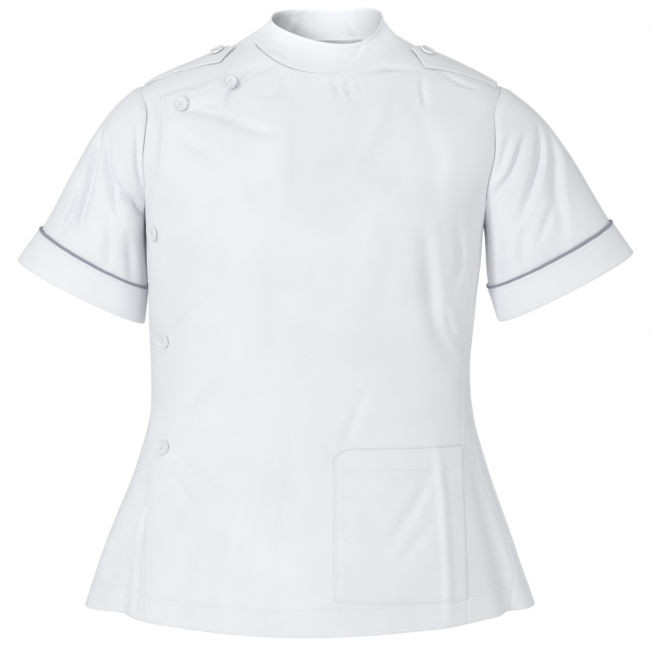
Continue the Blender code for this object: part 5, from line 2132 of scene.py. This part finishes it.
@dataclass(frozen=True)
class SoftLight:
    """A square area light that faces a target: places and size in metres, strength in watts."""

    name: str
    place: Point
    target: Point
    size: float
    watts: float
    spread: float = 180.0

    def build(self) -> None:
        """Add the light to the scene."""
        lamp = bpy.data.lights.new(self.name, "AREA")
        lamp.size, lamp.energy, lamp.spread = self.size, self.watts, math.radians(self.spread)
        made = bpy.data.objects.new(self.name, lamp)
        made.location = self.place
        x, y, z = np.array(self.target) - np.array(self.place)
        pitch, yaw = math.atan2(z, math.hypot(x, y)), math.atan2(y, x)
        made.rotation_euler = (pitch + math.pi / 2, 0.0, yaw - math.pi / 2)
        bpy.context.scene.collection.objects.link(made)


@dataclass
class Studio:
    """A pale floor, soft light all round, six soft lights, and the camera. Places are in metres."""

    camera_place: Point = (0.006, -2.3, -0.145)
    camera_pitch: float = 85.0
    lens: float = 106.15
    floor_height: float = -1.42
    floor_size: float = 60.0
    ambient: float = 0.54
    lights: tuple[SoftLight, ...] = (
        SoftLight("soft key light", (-1.6, -2.3, 0.35), (0.0, 0.0, -0.35), 0.5, 28.0),
        SoftLight("soft top light", (0.2, -1.7, 1.7), (0.0, 0.0, -0.1), 0.6, 5.0),
        SoftLight("soft light from the right", (2.0, -1.5, -1.0), (0.0, 0.0, -0.35), 0.8, 9.5),
        SoftLight("soft light from the left", (-2.0, -1.2, -1.0), (0.0, 0.0, -0.35), 0.8, 1.0),
        SoftLight("light into the neck", (0.0, -0.25, 0.33), (0.01, 0.045, 0.01), 0.08, 0.034, 32.0),
        SoftLight("soft back light", (1.0, 2.6, 0.9), (0.0, 0.0, -0.35), 0.7, 24.0),
    )

    def floor(self) -> None:
        """Make the floor, plain white where the camera sees it, and pale where it throws light back."""
        made, tree, shader = new_material("white studio floor")
        wired(tree, shader, {"Base Color": linear("#e9e9ea"), "Roughness": 0.9})
        seen = add_node(tree, "LightPath").outputs["Is Camera Ray"]
        white = add_node(tree, "Emission", {"Strength": 1.0}).outputs[0]
        both = add_node(tree, "MixShader", links={0: seen, 1: shader.outputs[0], 2: white}).outputs[0]
        wired(tree, tree.nodes["Material Output"], links={"Surface": both})
        half, z = 0.5 * self.floor_size / MM, self.floor_height / MM
        corners = np.array([[-half, -half, z], [half, -half, z], [half, half, z], [-half, half, z]])
        new_object("studio_floor", corners, [[0, 1, 2, 3]], made)

    def world(self) -> None:
        """Make the surroundings, white where the camera sees them, and softer as light."""
        world = bpy.data.worlds.new("white studio")
        world.use_nodes = True
        tree = world.node_tree
        seen = add_node(tree, "LightPath").outputs["Is Camera Ray"]
        span = {"To Min": self.ambient, "To Max": 1.0}
        strength = add_node(tree, "MapRange", span, {"Value": seen}).outputs[0]
        wired(tree, tree.nodes["Background"], {"Color": (1.0, 1.0, 1.0, 1.0)}, {"Strength": strength})
        bpy.context.scene.world = world

    def camera(self) -> None:
        """Make the camera, level across and tilted a little down."""
        camera = bpy.data.cameras.new("camera")
        camera.lens, camera.sensor_width = self.lens, 36.0
        made = bpy.data.objects.new("camera", camera)
        made.location = self.camera_place
        made.rotation_euler = (math.radians(self.camera_pitch), 0.0, 0.0)
        bpy.context.scene.collection.objects.link(made)
        bpy.context.scene.camera = made

    def build(self) -> None:
        """Make the floor, the world, the lights and the camera."""
        self.floor()
        self.world()
        for light in self.lights:
            light.build()
        self.camera()
        bpy.context.scene.view_settings.view_transform = "Standard"


def main() -> None:
    """Load the model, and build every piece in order."""
    logging.basicConfig(level=logging.INFO, format="%(message)s")
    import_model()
    finishes = Finishes.make()
    panels = BodyPanels(finishes)
    parts = (
        panels,
        Collar(finishes),
        *(Sleeve(finishes, side) for side in Side),
        Pocket(finishes, panels),
        ShoulderStrap(finishes, Side.RIGHT, -207.5, -100.0, 11.0, -25.0),
        ShoulderStrap(finishes, Side.LEFT, 209.5, 106.0, -2.0, -31.0),
        FrontFastening(finishes),
    )
    pieces = [piece for part in parts for piece in part.build()]
    Studio().build()
    LOG.info("%d pieces", len(pieces))


if __name__ == "__main__":
    main()
